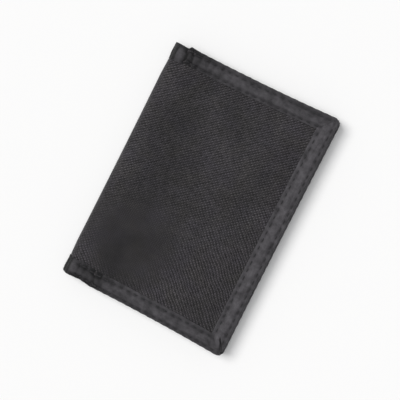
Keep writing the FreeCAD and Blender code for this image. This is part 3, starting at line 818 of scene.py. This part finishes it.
def binding(cover):
    length = alongAt(cover["edge"])
    endColumns = int(length / tapeShape["spacing"])
    openColumns = int(2 * halfHeight / tapeShape["spacing"])
    columns = 2 * endColumns + openColumns
    rows = sectionRows(tapeShape["spacing"])

    def place(u, v):
        column = np.rint(u * columns)
        row = pickRow(rows, v)
        points, lengths, shade = np.empty((len(u), 3)), np.empty((len(u), 2)), np.empty(len(u))
        parts = (("top", 0, endColumns), ("open", endColumns, openColumns),
                 ("bottom", endColumns + openColumns, endColumns))
        for part, first, count in parts:
            chosen = (column >= first) & (column <= first + count)
            share = (column[chosen] - first) / count
            offset, leg, curl = row[chosen].T
            along, across, depth, travel = tapePlace(cover, part, share, offset, leg, curl)
            points[chosen] = wrap(along, across, depth, cover["side"])
            start = {"top": 0, "open": length + halfHeight, "bottom": 2 * length + 2 * halfHeight}[part]
            onward = start + (travel if part == "top" else -travel)
            width = np.where(leg < 0.5, curl - offset, offset + 4 - curl)
            lengths[chosen] = stacked(onward, width)
            shade[chosen] = tapeShade(part, travel, offset, along, across) * np.where(leg < 0.5, 1, 0.6)
        return points, lengths, shade

    piece = newSheet(cover["name"] + "Binding", columns, len(rows) - 1, place, turned=cover["side"] < 0)
    makeCloth(piece, tapeThickness * 0.9, 60)
    replaced = [cover["name"] + "_binding"]
    if cover["name"] == "front":
        replaced += ["spine_top_binding", "spine_low_binding"]
    return finishBent(piece, bindingTape, cover, replaced)


for cover in covers.values():
    binding(cover)
print("binding")

# stitches

threadShape = {"blunt": 0.7, "dive": 0.35, "flat": 0.75}  # shape of a stitch's ends, their drop, its height


def modelStitch(length, width):  # a short thread whose ends dive into the cloth
    clearSelection()
    bpy.ops.mesh.primitive_uv_sphere_add(segments=8, ring_count=6, radius=0.5)
    piece = nameIt(bpy.context.object, "stitch")
    points = readPoints(piece)
    onward = np.sign(points[:, 2]) * np.abs(2 * points[:, 2]) ** threadShape["blunt"] / 2
    dive = threadShape["dive"] * width * (2 * np.abs(onward)) ** 3
    height = points[:, 1] * width * threadShape["flat"] - dive
    writePoints(piece, stacked(onward * length, points[:, 0] * width, height))
    layCloth(piece, readPoints(piece)[:, :2])
    return piece


def copiesOf(model, name, frames):  # a copy at each frame (place, heading, side, up), joined into one piece
    shape = readPoints(model)
    copies = []
    for place, heading, side, up in frames:
        copy = model.copy()
        copy.data = model.data.copy()
        bpy.context.scene.collection.objects.link(copy)
        writePoints(copy, (place + shape @ np.stack([heading, side, up])) * millimetre)
        copies.append(copy)
    clearSelection()
    for copy in copies:
        copy.select_set(True)
    bpy.context.view_layer.objects.active = copies[0]
    bpy.ops.object.join()
    return nameIt(bpy.context.object, name)


def removeModel(model):
    mesh = model.data
    bpy.data.objects.remove(model)
    bpy.data.meshes.remove(mesh)


def unit(vectors):
    return vectors / np.linalg.norm(vectors, axis=-1, keepdims=True)


def seamFrames(cover, row, leg):  # where each stitch of a row lies, round the three bound sides
    shape = tapeShape
    length = alongAt(cover["edge"])
    pitch = shape["stitchPitch"]
    frames = []
    for part in ("top", "open", "bottom"):
        offset = shape["rows"][part][row]
        reach = (halfHeight if part == "open" else length) - offset
        first = shape["cornerClear"] - reach  # the open side's travel counts from its middle
        if part != "open":
            first = shape["firstStitch"][part] if leg == 0 else 1.0
        last = reach - shape["cornerClear"]
        travel = np.arange(math.ceil(first / pitch), math.floor(last / pitch) + 1) * pitch
        share = {"top": travel / reach, "open": 0.5 - travel / (2 * reach), "bottom": 1 - travel / reach}[part]
        step = (0.15 if part == "open" else 0.3) / reach

        def at(onward, aside, lift=0.0):
            along, across, depth, _ = tapePlace(cover, part, onward, aside + 0 * onward, leg + 0 * onward, 0 * onward)
            return wrap(along, across, depth - lift * (1 if leg == 0 else -1), cover["side"])

        place = at(share, offset)
        heading = unit(at(share + step, offset) - at(share - step, offset))
        outward = unit(at(share, offset, 0.5) - place)
        side = unit(np.cross(outward, heading))
        proud = shape["proud"][cover["name"] if leg == 0 else "front"]
        frames += list(zip(place + outward * proud, heading, side, np.cross(heading, side)))
    return frames


stitch = modelStitch(tapeShape["stitchLength"], tapeShape["stitchWidth"])
for cover in covers.values():
    for row, rowName in enumerate(("outer", "inner")):
        frames = seamFrames(cover, row, 0) + seamFrames(cover, row, 1)
        seam = copiesOf(stitch, cover["name"] + rowName.title() + "Stitches", frames)
        smoothShade(seam, 180)
        finishBent(seam, coverThread, cover, [cover["name"] + "_" + rowName + "_seam"])
removeModel(stitch)
print("stitches")

# the layers that cross the spine

layerShape = {
    "liningAtSpine": 1.12,  # depth of each layer where they close up round the fold
    "dividerAtSpine": 1.44,
    "spacing": 1.6,  # between grid lines
    "panelSpacing": 1.5,
    "tapeSpacing": 0.9,
    "hemSpacing": 0.8,
    "mouthReach": 9.0,  # how far below its mouth a pocket starts to open
    "deepest": 0.25,  # how far a panel may bulge towards the middle
    "clear": 1.3,  # from the wallet's edge to the sewn edges of the inner pieces
}


def layerSheet(cover, name, depth, depthAtSpine, wall, material, nodes, top=halfHeight):
    piece = spanSheet(cover, name, depth, depthAtSpine, layerShape["clear"], layerShape["spacing"], top=top)
    makeCloth(piece, wall)
    finishBent(piece, material, cover, nodes)
    declareCloth(piece)


def nodeThickness(node):
    low, high = boxOf(node)
    return float(high[2] - low[2])


hemWidth = float(np.ptp([corner[1] for corner in boxOf("card_pocket_1_hem")]))
for cover in covers.values():
    side = cover["name"]
    spineToo = side == "front"
    layerSheet(cover, side + "Lining", liningDepth, layerShape["liningAtSpine"], 0.3, liningCloth,
               [side + "_lining"] + ["spine_lining"] * spineToo)
    layerSheet(cover, side + "Divider", dividerDepth, layerShape["dividerAtSpine"], 0.38, pocketCloth,
               [side + "_divider"] + ["spine_divider"] * spineToo, top=dividerTop)
print("lining and divider")


def sinkAt(along):  # how much nearer the outer face the inner pieces lie beside the fold
    return (dividerDepth - layerShape["dividerAtSpine"]) * (1 - spreadAt(along))


def dividerHem(cover):  # a folded tape over the divider's upper edge, bent round the spine with it
    length = alongAt(cover["edge"]) - tapeWidth + 0.5
    # distance from the folded edge and depth, from one sewn edge round to the other
    rows = np.array([(hemWidth, -0.02), (hemWidth * 0.66, -0.14), (hemWidth * 0.33, -0.16), (0.5, -0.1), (0.0, 0.1),
                     (-0.15, 0.25), (0.0, 0.42), (0.5, 0.6), (hemWidth * 0.5, 0.64), (hemWidth, 0.58)])
    girth = girthOf(rows)

    def place(u, v):
        inward, sink = pickRow(rows, v).T
        along = u * length
        across = dividerTop + 0.15 - inward + 0.06 * np.sin(along * 0.35)
        depth = dividerDepth - sinkAt(along) + sink + 0.02 * np.sin(along * 2.4)
        return wrap(along, across, depth, cover["side"]), stacked(along, pickRow(girth, v))

    columns = int(length / layerShape["hemSpacing"])
    piece = newSheet(cover["name"] + "DividerHem", columns, len(rows) - 1, place, turned=cover["side"] > 0)
    makeCloth(piece, 0.12, 60)
    nodes = [cover["name"] + "_divider_hem"] + ["spine_divider_hem"] * (cover["name"] == "front")
    return finishBent(piece, hemTape, cover, nodes)


for cover in covers.values():
    dividerHem(cover)

# boards, pockets and panels

def zAt(cover, depth):
    return thickness - depth if cover["side"] > 0 else depth


def flatOn(cover, x, y, depth):  # places on a flat cover, and the cloth's own lengths
    return stacked(x, y, zAt(cover, depth)), stacked(x, y)


def panel(cover, name, node, material, wave, sag=0.0, mouth=0.0, top=None, thick=None):
    # a cloth sewn flat on a cover; its mouth may sag and stand a little open
    lowCorner, highCorner = boxOf(node)
    inset, spacing, mouthReach = (layerShape[name] for name in ("clear", "panelSpacing", "mouthReach"))
    left, right = lowCorner[0], min(highCorner[0], cover["edge"] - inset)
    bottom = max(lowCorner[1], -halfHeight + inset)
    height = (highCorner[1] if top is None else top) - bottom
    faceDepth = thickness - lowCorner[2] if cover["side"] > 0 else highCorner[2]

    def place(u, v):
        x, bellied = left + u * (right - left), arch(u)
        y = bottom + v * (height - sag * bellied) + (1 - v) ** 6 * sideBow["ends"] * bellied
        x = x - rise(x, right - 6, 6) * sideBow["open"] * bowAt(y)
        lift = wave * ripple(x, y, 22, len(name)) * np.minimum(1, bellied * 2)
        lift = lift + mouth * bellied * rise(v * height, height - mouthReach, mouthReach)
        return flatOn(cover, x, y, faceDepth + np.minimum(lift, layerShape["deepest"]) - sinkAt(alongAt(x)))

    piece = newSheet(name, int((right - left) / spacing), int(height / spacing), place, turned=cover["side"] > 0)
    makeCloth(piece, thick or highCorner[2] - lowCorner[2])
    finishPiece(piece, material, cover["body"], [node])
    declareCloth(piece)


def board(cover):  # the foam that stiffens a cover, hidden between shell and lining
    node = cover["name"] + "_stiffener"
    inset = layerShape["clear"]
    left, right = boxOf(node)[0][0] + 1, cover["edge"] - inset

    def place(u, v):
        x = left + u * (right - left) - sideBow["open"] * arch(v) * u
        y = (2 * v - 1) * (halfHeight - inset - sideBow["ends"])
        return flatOn(cover, x, y, boardDepth + 0.05 + 0 * x)

    piece = newSheet(cover["name"] + "Board", 24, 36, place, turned=cover["side"] < 0)
    thicken(piece, nodeThickness(node) * 0.85)
    roundEdges(piece, 0.2)
    smoothShade(piece)
    finishPiece(piece, foamBoard, cover["body"], [node])


front, back = covers["front"], covers["back"]
for cover in covers.values():
    board(cover)
for number in (1, 2, 3):
    name = "card_pocket_" + str(number)
    panel(front, "cardPocket" + str(number), name, pocketCloth, 0.04, 0.7, 0.04 * number)
print("card pockets")

# tapes sewn on the inside

def tapeAlong(cover, name, node, corners, faceDepth, wall=0.0, closed=False, sag=0.0, thick=0.18, pillow=0.1):
    # a tape laid along straight sides, mitred where they meet; wall is how far it turns down over the outer edge
    sides = [(np.array(corners[i], float), np.array(corners[i + 1], float)) for i in range(len(corners) - 1)]
    counts = [max(2, int(np.linalg.norm(b - a) / layerShape["tapeSpacing"])) for a, b in sides]
    starts = np.cumsum([0] + counts)
    rows = [(hemWidth * (1 - i / 6), -pillow * math.sin(math.pi * i / 6) ** 0.6) for i in range(1, 6)]
    folded = [(0.25, 0.0), (0.06, 0.1), (0.0, 0.3), (0.0, wall * 0.65), (0.0, wall)]
    rows = np.array([(hemWidth, 0.05)] + rows + (folded if wall else [(0.0, 0.05)]))
    girth = girthOf(rows)

    def place(u, v):
        column = np.rint(u * starts[-1])
        points, lengths = np.empty((len(u), 3)), np.empty((len(u), 2))
        run = 0.0
        for i, (a, b) in enumerate(sides):
            chosen = (column >= starts[i]) & (column <= starts[i + 1])
            share = ((column[chosen] - starts[i]) / counts[i])[:, None]
            offset, depth = pickRow(rows, v[chosen]).T
            reach = float(np.linalg.norm(b - a))
            heading = (b - a) / reach
            inward = np.array([heading[1], -heading[0]])
            fromStart = offset * (closed or i > 0)
            fromEnd = offset * (closed or i < len(sides) - 1)
            onward = fromStart + share[:, 0] * (reach - fromStart - fromEnd)
            spot = a + onward[:, None] * heading + offset[:, None] * inward
            spot[:, 1] -= sag * arch(onward / reach)
            sunk = faceDepth - depth + 0.02 * np.sin(onward * 2.1) - sinkAt(alongAt(spot[:, 0]))
            points[chosen] = np.column_stack([spot, zAt(cover, sunk)])
            lengths[chosen] = stacked(run + onward, pickRow(girth, v[chosen]))
            run += reach
        return points, lengths

    piece = newSheet(name, int(starts[-1]), len(rows) - 1, place)
    if closed:
        editAll(piece)
        bpy.ops.mesh.remove_doubles(threshold=0.00002)
        doneEditing()
    facing = np.empty(len(piece.data.polygons) * 3)
    piece.data.polygons.foreach_get("normal", facing)
    if facing[2::3].sum() * cover["side"] > 0:  # it has to face the other cover
        turnOver(piece)
    makeCloth(piece, thick, 60)
    finishPiece(piece, hemTape, cover["body"], [node])


innerStitch = {"pitch": 2.7, "length": 1.6, "width": 0.34, "fromEdge": 0.8}
innerSeams = {"front": [], "back": []}


def sewAlong(cover, start, end, depth, sag=0.0):  # places for a straight line of fine stitches
    start, end = np.array(start, float), np.array(end, float)
    reach = float(np.linalg.norm(end - start))
    heading = (end - start) / reach
    for onward in np.arange(innerStitch["pitch"] / 2, reach, innerStitch["pitch"]):
        spot = start + heading * onward - np.array([0, sag * arch(onward / reach)])
        place = np.array([spot[0], spot[1], zAt(cover, depth + 0.05 - float(sinkAt(alongAt(spot[0]))))])
        up = np.array([0, 0, -1.0 * cover["side"]])
        along = np.array([heading[0], heading[1], 0])
        innerSeams[cover["name"]].append((place, along, np.cross(up, along), up))


fromEdge = innerStitch["fromEdge"]
for number in (1, 2, 3):
    node = "card_pocket_" + str(number) + "_hem"
    low, high = boxOf(node)
    depth = thickness - high[2] + 0.04 * number
    tapeAlong(front, "cardPocket" + str(number) + "Hem", node, [(low[0], high[1] + 0.1), (high[0], high[1] + 0.1)],
              depth, wall=0.35, sag=0.7)
    sewAlong(front, (low[0], low[1] + fromEdge), (high[0], low[1] + fromEdge), depth + 0.08, sag=0.7)
low, high = boxOf("pocket_edge_tape")
depth = thickness - low[2] - nodeThickness("card_pocket_1_hem")
tapeAlong(front, "pocketEdgeTape", "pocket_edge_tape", [(low[0], low[1] + 1), (low[0], high[1])], depth,
          wall=high[2] - low[2] - 0.2)
sewAlong(front, (high[0] - fromEdge, low[1] + 2), (high[0] - fromEdge, high[1] - 1), depth + 0.08)

zipLine = float(sum(corner[1] for corner in boxOf("zip_bottom_stop"))) / 2
panelGap = boxOf("pouch_upper_panel")[0][1] - zipLine
pouchDepth = boxOf("pouch_lower_panel")[1][2]
panel(back, "pouchLowerPanel", "pouch_lower_panel", pocketCloth, 0.05,
      top=zipLine - panelGap, thick=nodeThickness("pouch_upper_panel"))
panel(back, "pouchUpperPanel", "pouch_upper_panel", pocketCloth, 0.02)
for name, node in (("zipTapeUpper", "zip_tape_upper"), ("zipTapeLower", "zip_tape_lower")):
    panel(back, name, node, zipTape, 0.01)
for sideways in (-1, 1):
    y = zipLine + sideways * (panelGap + fromEdge)
    sewAlong(back, (-32, y), (35.5, y), pouchDepth)
low, high = boxOf("pouch_edge_tape")
tapeAlong(back, "pouchEdgeTape", "pouch_edge_tape", [(low[0], low[1] + 1), (low[0], high[1]), (high[0], high[1])],
          pouchDepth, wall=high[2] - low[2] - 0.3)
x, y, depth = low[0] + hemWidth - fromEdge, high[1] - hemWidth + fromEdge, pouchDepth + 0.1
sewAlong(back, (x, low[1] + 2), (x, high[1] - hemWidth), depth)
sewAlong(back, (low[0] + hemWidth, y), (high[0], y), depth)
windowLow, windowHigh = boxOf("card_window")
panel(back, "cardWindow", "card_window", clearSheet, 0.02, thick=0.12)
windowCorners = [(windowLow[0], windowLow[1]), (windowLow[0], windowHigh[1]), (windowHigh[0], windowHigh[1]),
                 (windowHigh[0], windowLow[1]), (windowLow[0], windowLow[1])]
tapeAlong(back, "cardWindowFrame", "card_window_frame", windowCorners, windowHigh[2] + 0.02, closed=True, thick=0.14,
          pillow=0.14)
inner = hemWidth - fromEdge
for i in (0, 2, 3):  # cards go in at the upper side
    start, end = np.array(windowCorners[i]), np.array(windowCorners[i + 1])
    heading = (end - start) / np.linalg.norm(end - start)
    aside = np.array([heading[1], -heading[0]]) * inner
    sewAlong(back, start + aside + heading * inner, end + aside - heading * inner, windowHigh[2] + 0.14)
stitch = modelStitch(innerStitch["length"], innerStitch["width"])
for cover in covers.values():
    seam = copiesOf(stitch, cover["name"] + "InnerSeams", innerSeams[cover["name"]])
    smoothShade(seam, 180)
    finishPiece(seam, coverThread, cover["body"])
removeModel(stitch)
print("tapes and window")

# zip

zipShape = {
    "pitch": 1.5,  # from one tooth to the next in a row; the rows stand half of it apart
    "toothLength": 0.74,
    "reach": 0.5,  # how much longer the teeth are than their half of the chain is wide
    "firstTooth": 0.6,
    "cordSize": 0.9,  # the cord that the teeth are sewn to, and how far in it lies
    "cordInset": 0.55,
}


def platedCopy(node, name, amount, body, segments=2):  # a cast piece with its edges rounded
    source = bpy.data.objects[node]
    piece = bpy.data.objects.new(name, source.data.copy())
    bpy.context.scene.collection.objects.link(piece)
    editAll(piece)
    bpy.ops.mesh.remove_doubles(threshold=0.00001)
    bpy.ops.mesh.dissolve_limited(angle_limit=math.radians(2))
    doneEditing()
    roundEdges(piece, amount, segments)
    smoothShade(piece)
    finishPiece(nameIt(piece, name), zipMetal, body, [node])


def modelTooth(length, width, height):  # one turn of the coil, seen from above as a short rounded bar
    clearSelection()
    bpy.ops.mesh.primitive_cylinder_add(vertices=10, radius=0.5, depth=1, end_fill_type="NGON")
    piece = nameIt(bpy.context.object, "tooth")
    roundEdges(piece, 180, 2)
    points = readPoints(piece)
    tuck = 1 + 0.25 * points[:, 2]
    writePoints(piece, stacked(points[:, 0] * length * tuck, points[:, 2] * width, points[:, 1] * height))
    layCloth(piece, readPoints(piece)[:, :2])
    return piece


for part, sideways in (("upper", 1), ("lower", -1)):
    shape = zipShape
    node = "zip_chain_" + part
    low, high = boxOf(node)
    length, width, height = high - low
    centre = (low + high) / 2
    tooth = modelTooth(shape["toothLength"], width + shape["reach"], height)
    start = low[0] + shape["firstTooth"] + (shape["pitch"] / 2 if part == "upper" else 0)
    count = int((length - shape["firstTooth"]) / shape["pitch"])
    frames = [(np.array([start + shape["pitch"] * i, centre[1] - sideways * shape["reach"] / 2, centre[2]]),
               np.array([1.0, 0, 0]), np.array([0, -1.0 * sideways, 0]), np.array([0, 0, 1.0])) for i in range(count)]
    teeth = copiesOf(tooth, "zipChain" + part.title(), frames)
    clearSelection()
    bpy.ops.mesh.primitive_cylinder_add(vertices=12, radius=0.5, depth=1)
    cord = bpy.context.object
    points = readPoints(cord)
    cordY = (high[1] if sideways > 0 else low[1]) - sideways * shape["cordInset"]
    writePoints(cord, stacked(points[:, 2] * length + centre[0], points[:, 0] * shape["cordSize"] + cordY,
                              points[:, 1] * height * 0.8 + centre[2] - 0.05) * millimetre)
    layCloth(cord, readPoints(cord)[:, :2] / millimetre)
    joinTo(teeth, cord)
    editAll(teeth)
    bpy.ops.mesh.normals_make_consistent(inside=False)
    doneEditing()
    smoothShade(teeth, 50)
    finishPiece(teeth, zipNylon, "back_cover", [node])
    removeModel(tooth)
platedCopy("zip_top_stops", "zipTopStops", 0.15, "back_cover")
platedCopy("zip_bottom_stop", "zipBottomStop", 0.15, "back_cover")
platedCopy("slider_body", "sliderBody", 0.16, "zip_slider")
platedCopy("pull_tab", "pullTab", 0.2, "zip_slider", 3)
print("zip")

# hook and loop

gripShape = {
    "hookPitch": 1.35,
    "hookHeight": 0.62,
    "hookCurl": 0.36,  # radius of the hook, to a stem of 1
    "hookThread": 0.11,
    "base": 0.4,
    "baseRise": 0.03,
    "pile": 0.3,
    "margin": 0.7,
}


def modelHook():  # a stiff thread standing up and turned over at its end
    clearSelection()
    bpy.ops.mesh.primitive_grid_add(x_subdivisions=6, y_subdivisions=5, size=1)
    piece = nameIt(bpy.context.object, "hook")
    shares = readPoints(piece)[:, :2] + 0.5
    turn, rising = shares[:, 0] * 2 * math.pi, shares[:, 1]
    bend = np.maximum(rising - 0.5, 0) * 2 * math.pi * 0.8
    curl, thread = gripShape["hookCurl"], gripShape["hookThread"]
    tilt = np.minimum(bend, 3)
    x = np.where(rising < 0.5, 0, curl * (1 - np.cos(bend))) + thread * np.cos(turn) * np.cos(tilt)
    z = np.where(rising < 0.5, rising * 2, 1 + curl * np.sin(bend)) - thread * np.cos(turn) * np.sin(tilt)
    writePoints(piece, stacked(x, thread * np.sin(turn), z * gripShape["hookHeight"] / 1.4))
    editAll(piece)
    bpy.ops.mesh.remove_doubles(threshold=0.001)
    bpy.ops.mesh.fill_holes(sides=0)
    bpy.ops.mesh.normals_make_consistent(inside=False)
    doneEditing()
    layCloth(piece, readPoints(piece)[:, :2])
    return piece


def gripBase(cover, name, low, high, faceDepth, wall, height, seed):  # a strip with a rough pile on its face
    width, length = high[:2] - low[:2]

    def place(u, v):
        x, y = low[0] + u * width, low[1] + v * length
        inside = np.minimum(np.minimum(u, 1 - u) * width, np.minimum(v, 1 - v) * length)
        bumps = ripple(x, y, 1.6, seed) + 0.7 * ripple(x, y, 0.8, seed + 1)
        pile = height * (0.6 + 0.4 * bumps) * rise(inside, 0.3, gripShape["margin"])
        return flatOn(cover, x, y, faceDepth + pile)

    piece = newSheet(name, int(width / 0.3), int(length / 0.3), place, turned=cover["side"] > 0)
    makeCloth(piece, wall, 80)
    return piece


low, high = boxOf("hook_strip")
hookBase = gripBase(front, "hookStrip", low, high, thickness - high[2] + gripShape["base"], 0.38,
                    gripShape["baseRise"], 21)
hook = modelHook()
frames = []
for i, x in enumerate(np.arange(low[0] + 1, high[0] - 0.8, gripShape["hookPitch"])):
    for y in np.arange(low[1] + 1 + 0.6 * (i % 2), high[1] - 0.8, gripShape["hookPitch"]):
        lean = 1.0 if i % 2 else -1.0
        frames.append((np.array([x, y, high[2] - gripShape["base"]]), np.array([0, lean, 0]),
                       np.array([lean, 0, 0]), np.array([0, 0, -1.0])))
hooks = copiesOf(hook, "hooks", frames)
joinTo(hookBase, hooks)
finishPiece(hookBase, hookNylon, "front_cover", ["hook_strip"])
removeModel(hook)
low, high = boxOf("loop_strip")
loopStrip = gripBase(back, "loopStrip", low, high, low[2] + 0.32, 0.3, gripShape["pile"], 31)
finishPiece(loopStrip, loopNylon, "back_cover", ["loop_strip"])
print("hook and loop")

# camera, lights and floor

view = {
    "turn": 27.0,  # degrees that the camera is turned about the vertical
    "distance": 500.0,
    "lean": 6.7,  # degrees off the vertical, towards the open side
    "takesIn": 192.2153,  # width of the frame at the wallet's upper face
    "sensor": 36.0,
    "shift": (0.00425, -0.005625),
}


def addCamera():
    clearSelection()
    bpy.ops.object.camera_add()
    camera = nameIt(bpy.context.object, "camera")
    turn, lean = math.radians(view["turn"]), math.radians(view["lean"])
    right = Vector((math.cos(turn), math.sin(turn), 0))
    up = Vector((-math.sin(turn), math.cos(turn), 0))
    back = right * math.sin(lean) + Vector((0, 0, math.cos(lean)))
    camera.location = Vector((0, 0, thickness * millimetre)) + back * view["distance"] * millimetre
    camera.rotation_mode = "QUATERNION"
    camera.rotation_quaternion = Matrix((up.cross(back), up, back)).transposed().to_quaternion()
    camera.data.sensor_width = view["sensor"]
    camera.data.lens = view["sensor"] * view["distance"] / view["takesIn"]
    camera.data.shift_x, camera.data.shift_y = view["shift"]
    camera.data.clip_end = 20
    bpy.context.scene.camera = camera


def addFloor():
    clearSelection()
    bpy.ops.mesh.primitive_plane_add(size=12)
    floor = nameIt(bpy.context.object, "floor")
    paint = Paint("floorPaper", 0.9, Specular_IOR_Level=0.1)
    paint.shader.inputs["Base Color"].default_value = (0.9, 0.9, 0.9, 1)
    floor.data.materials.append(paint.material)


lights = {  # where it comes from, how many degrees wide it is, power and colour
    "keyLight": ((-470, 60, 880), 30, 1.86, (1, 0.99, 0.98)),
    "overheadLight": ((0, 0, 1000), 45, 1.15, (0.98, 0.99, 1)),
}


def addSoftLight(name, towards, spread, power, colour):  # a very large soft light a long way off
    clearSelection()
    bpy.ops.object.light_add(type="SUN", location=Vector(towards) * millimetre)
    light = bpy.context.object
    light.name = name
    light.data.angle = math.radians(spread)
    light.data.energy = power
    light.data.color = colour
    light.rotation_mode = "QUATERNION"
    light.rotation_quaternion = (-Vector(towards)).to_track_quat("-Z", "Y")


def addWorld(strength):
    world = bpy.data.worlds.new("studio")
    world.use_nodes = True
    background = world.node_tree.nodes["Background"]
    background.inputs["Color"].default_value = (1, 1, 1, 1)
    background.inputs["Strength"].default_value = strength
    bpy.context.scene.world = world


addCamera()
addFloor()
for name, settings in lights.items():
    addSoftLight(name, *settings)
addWorld(0.2)
bpy.context.scene.view_settings.view_transform = "Standard"
print("stage")
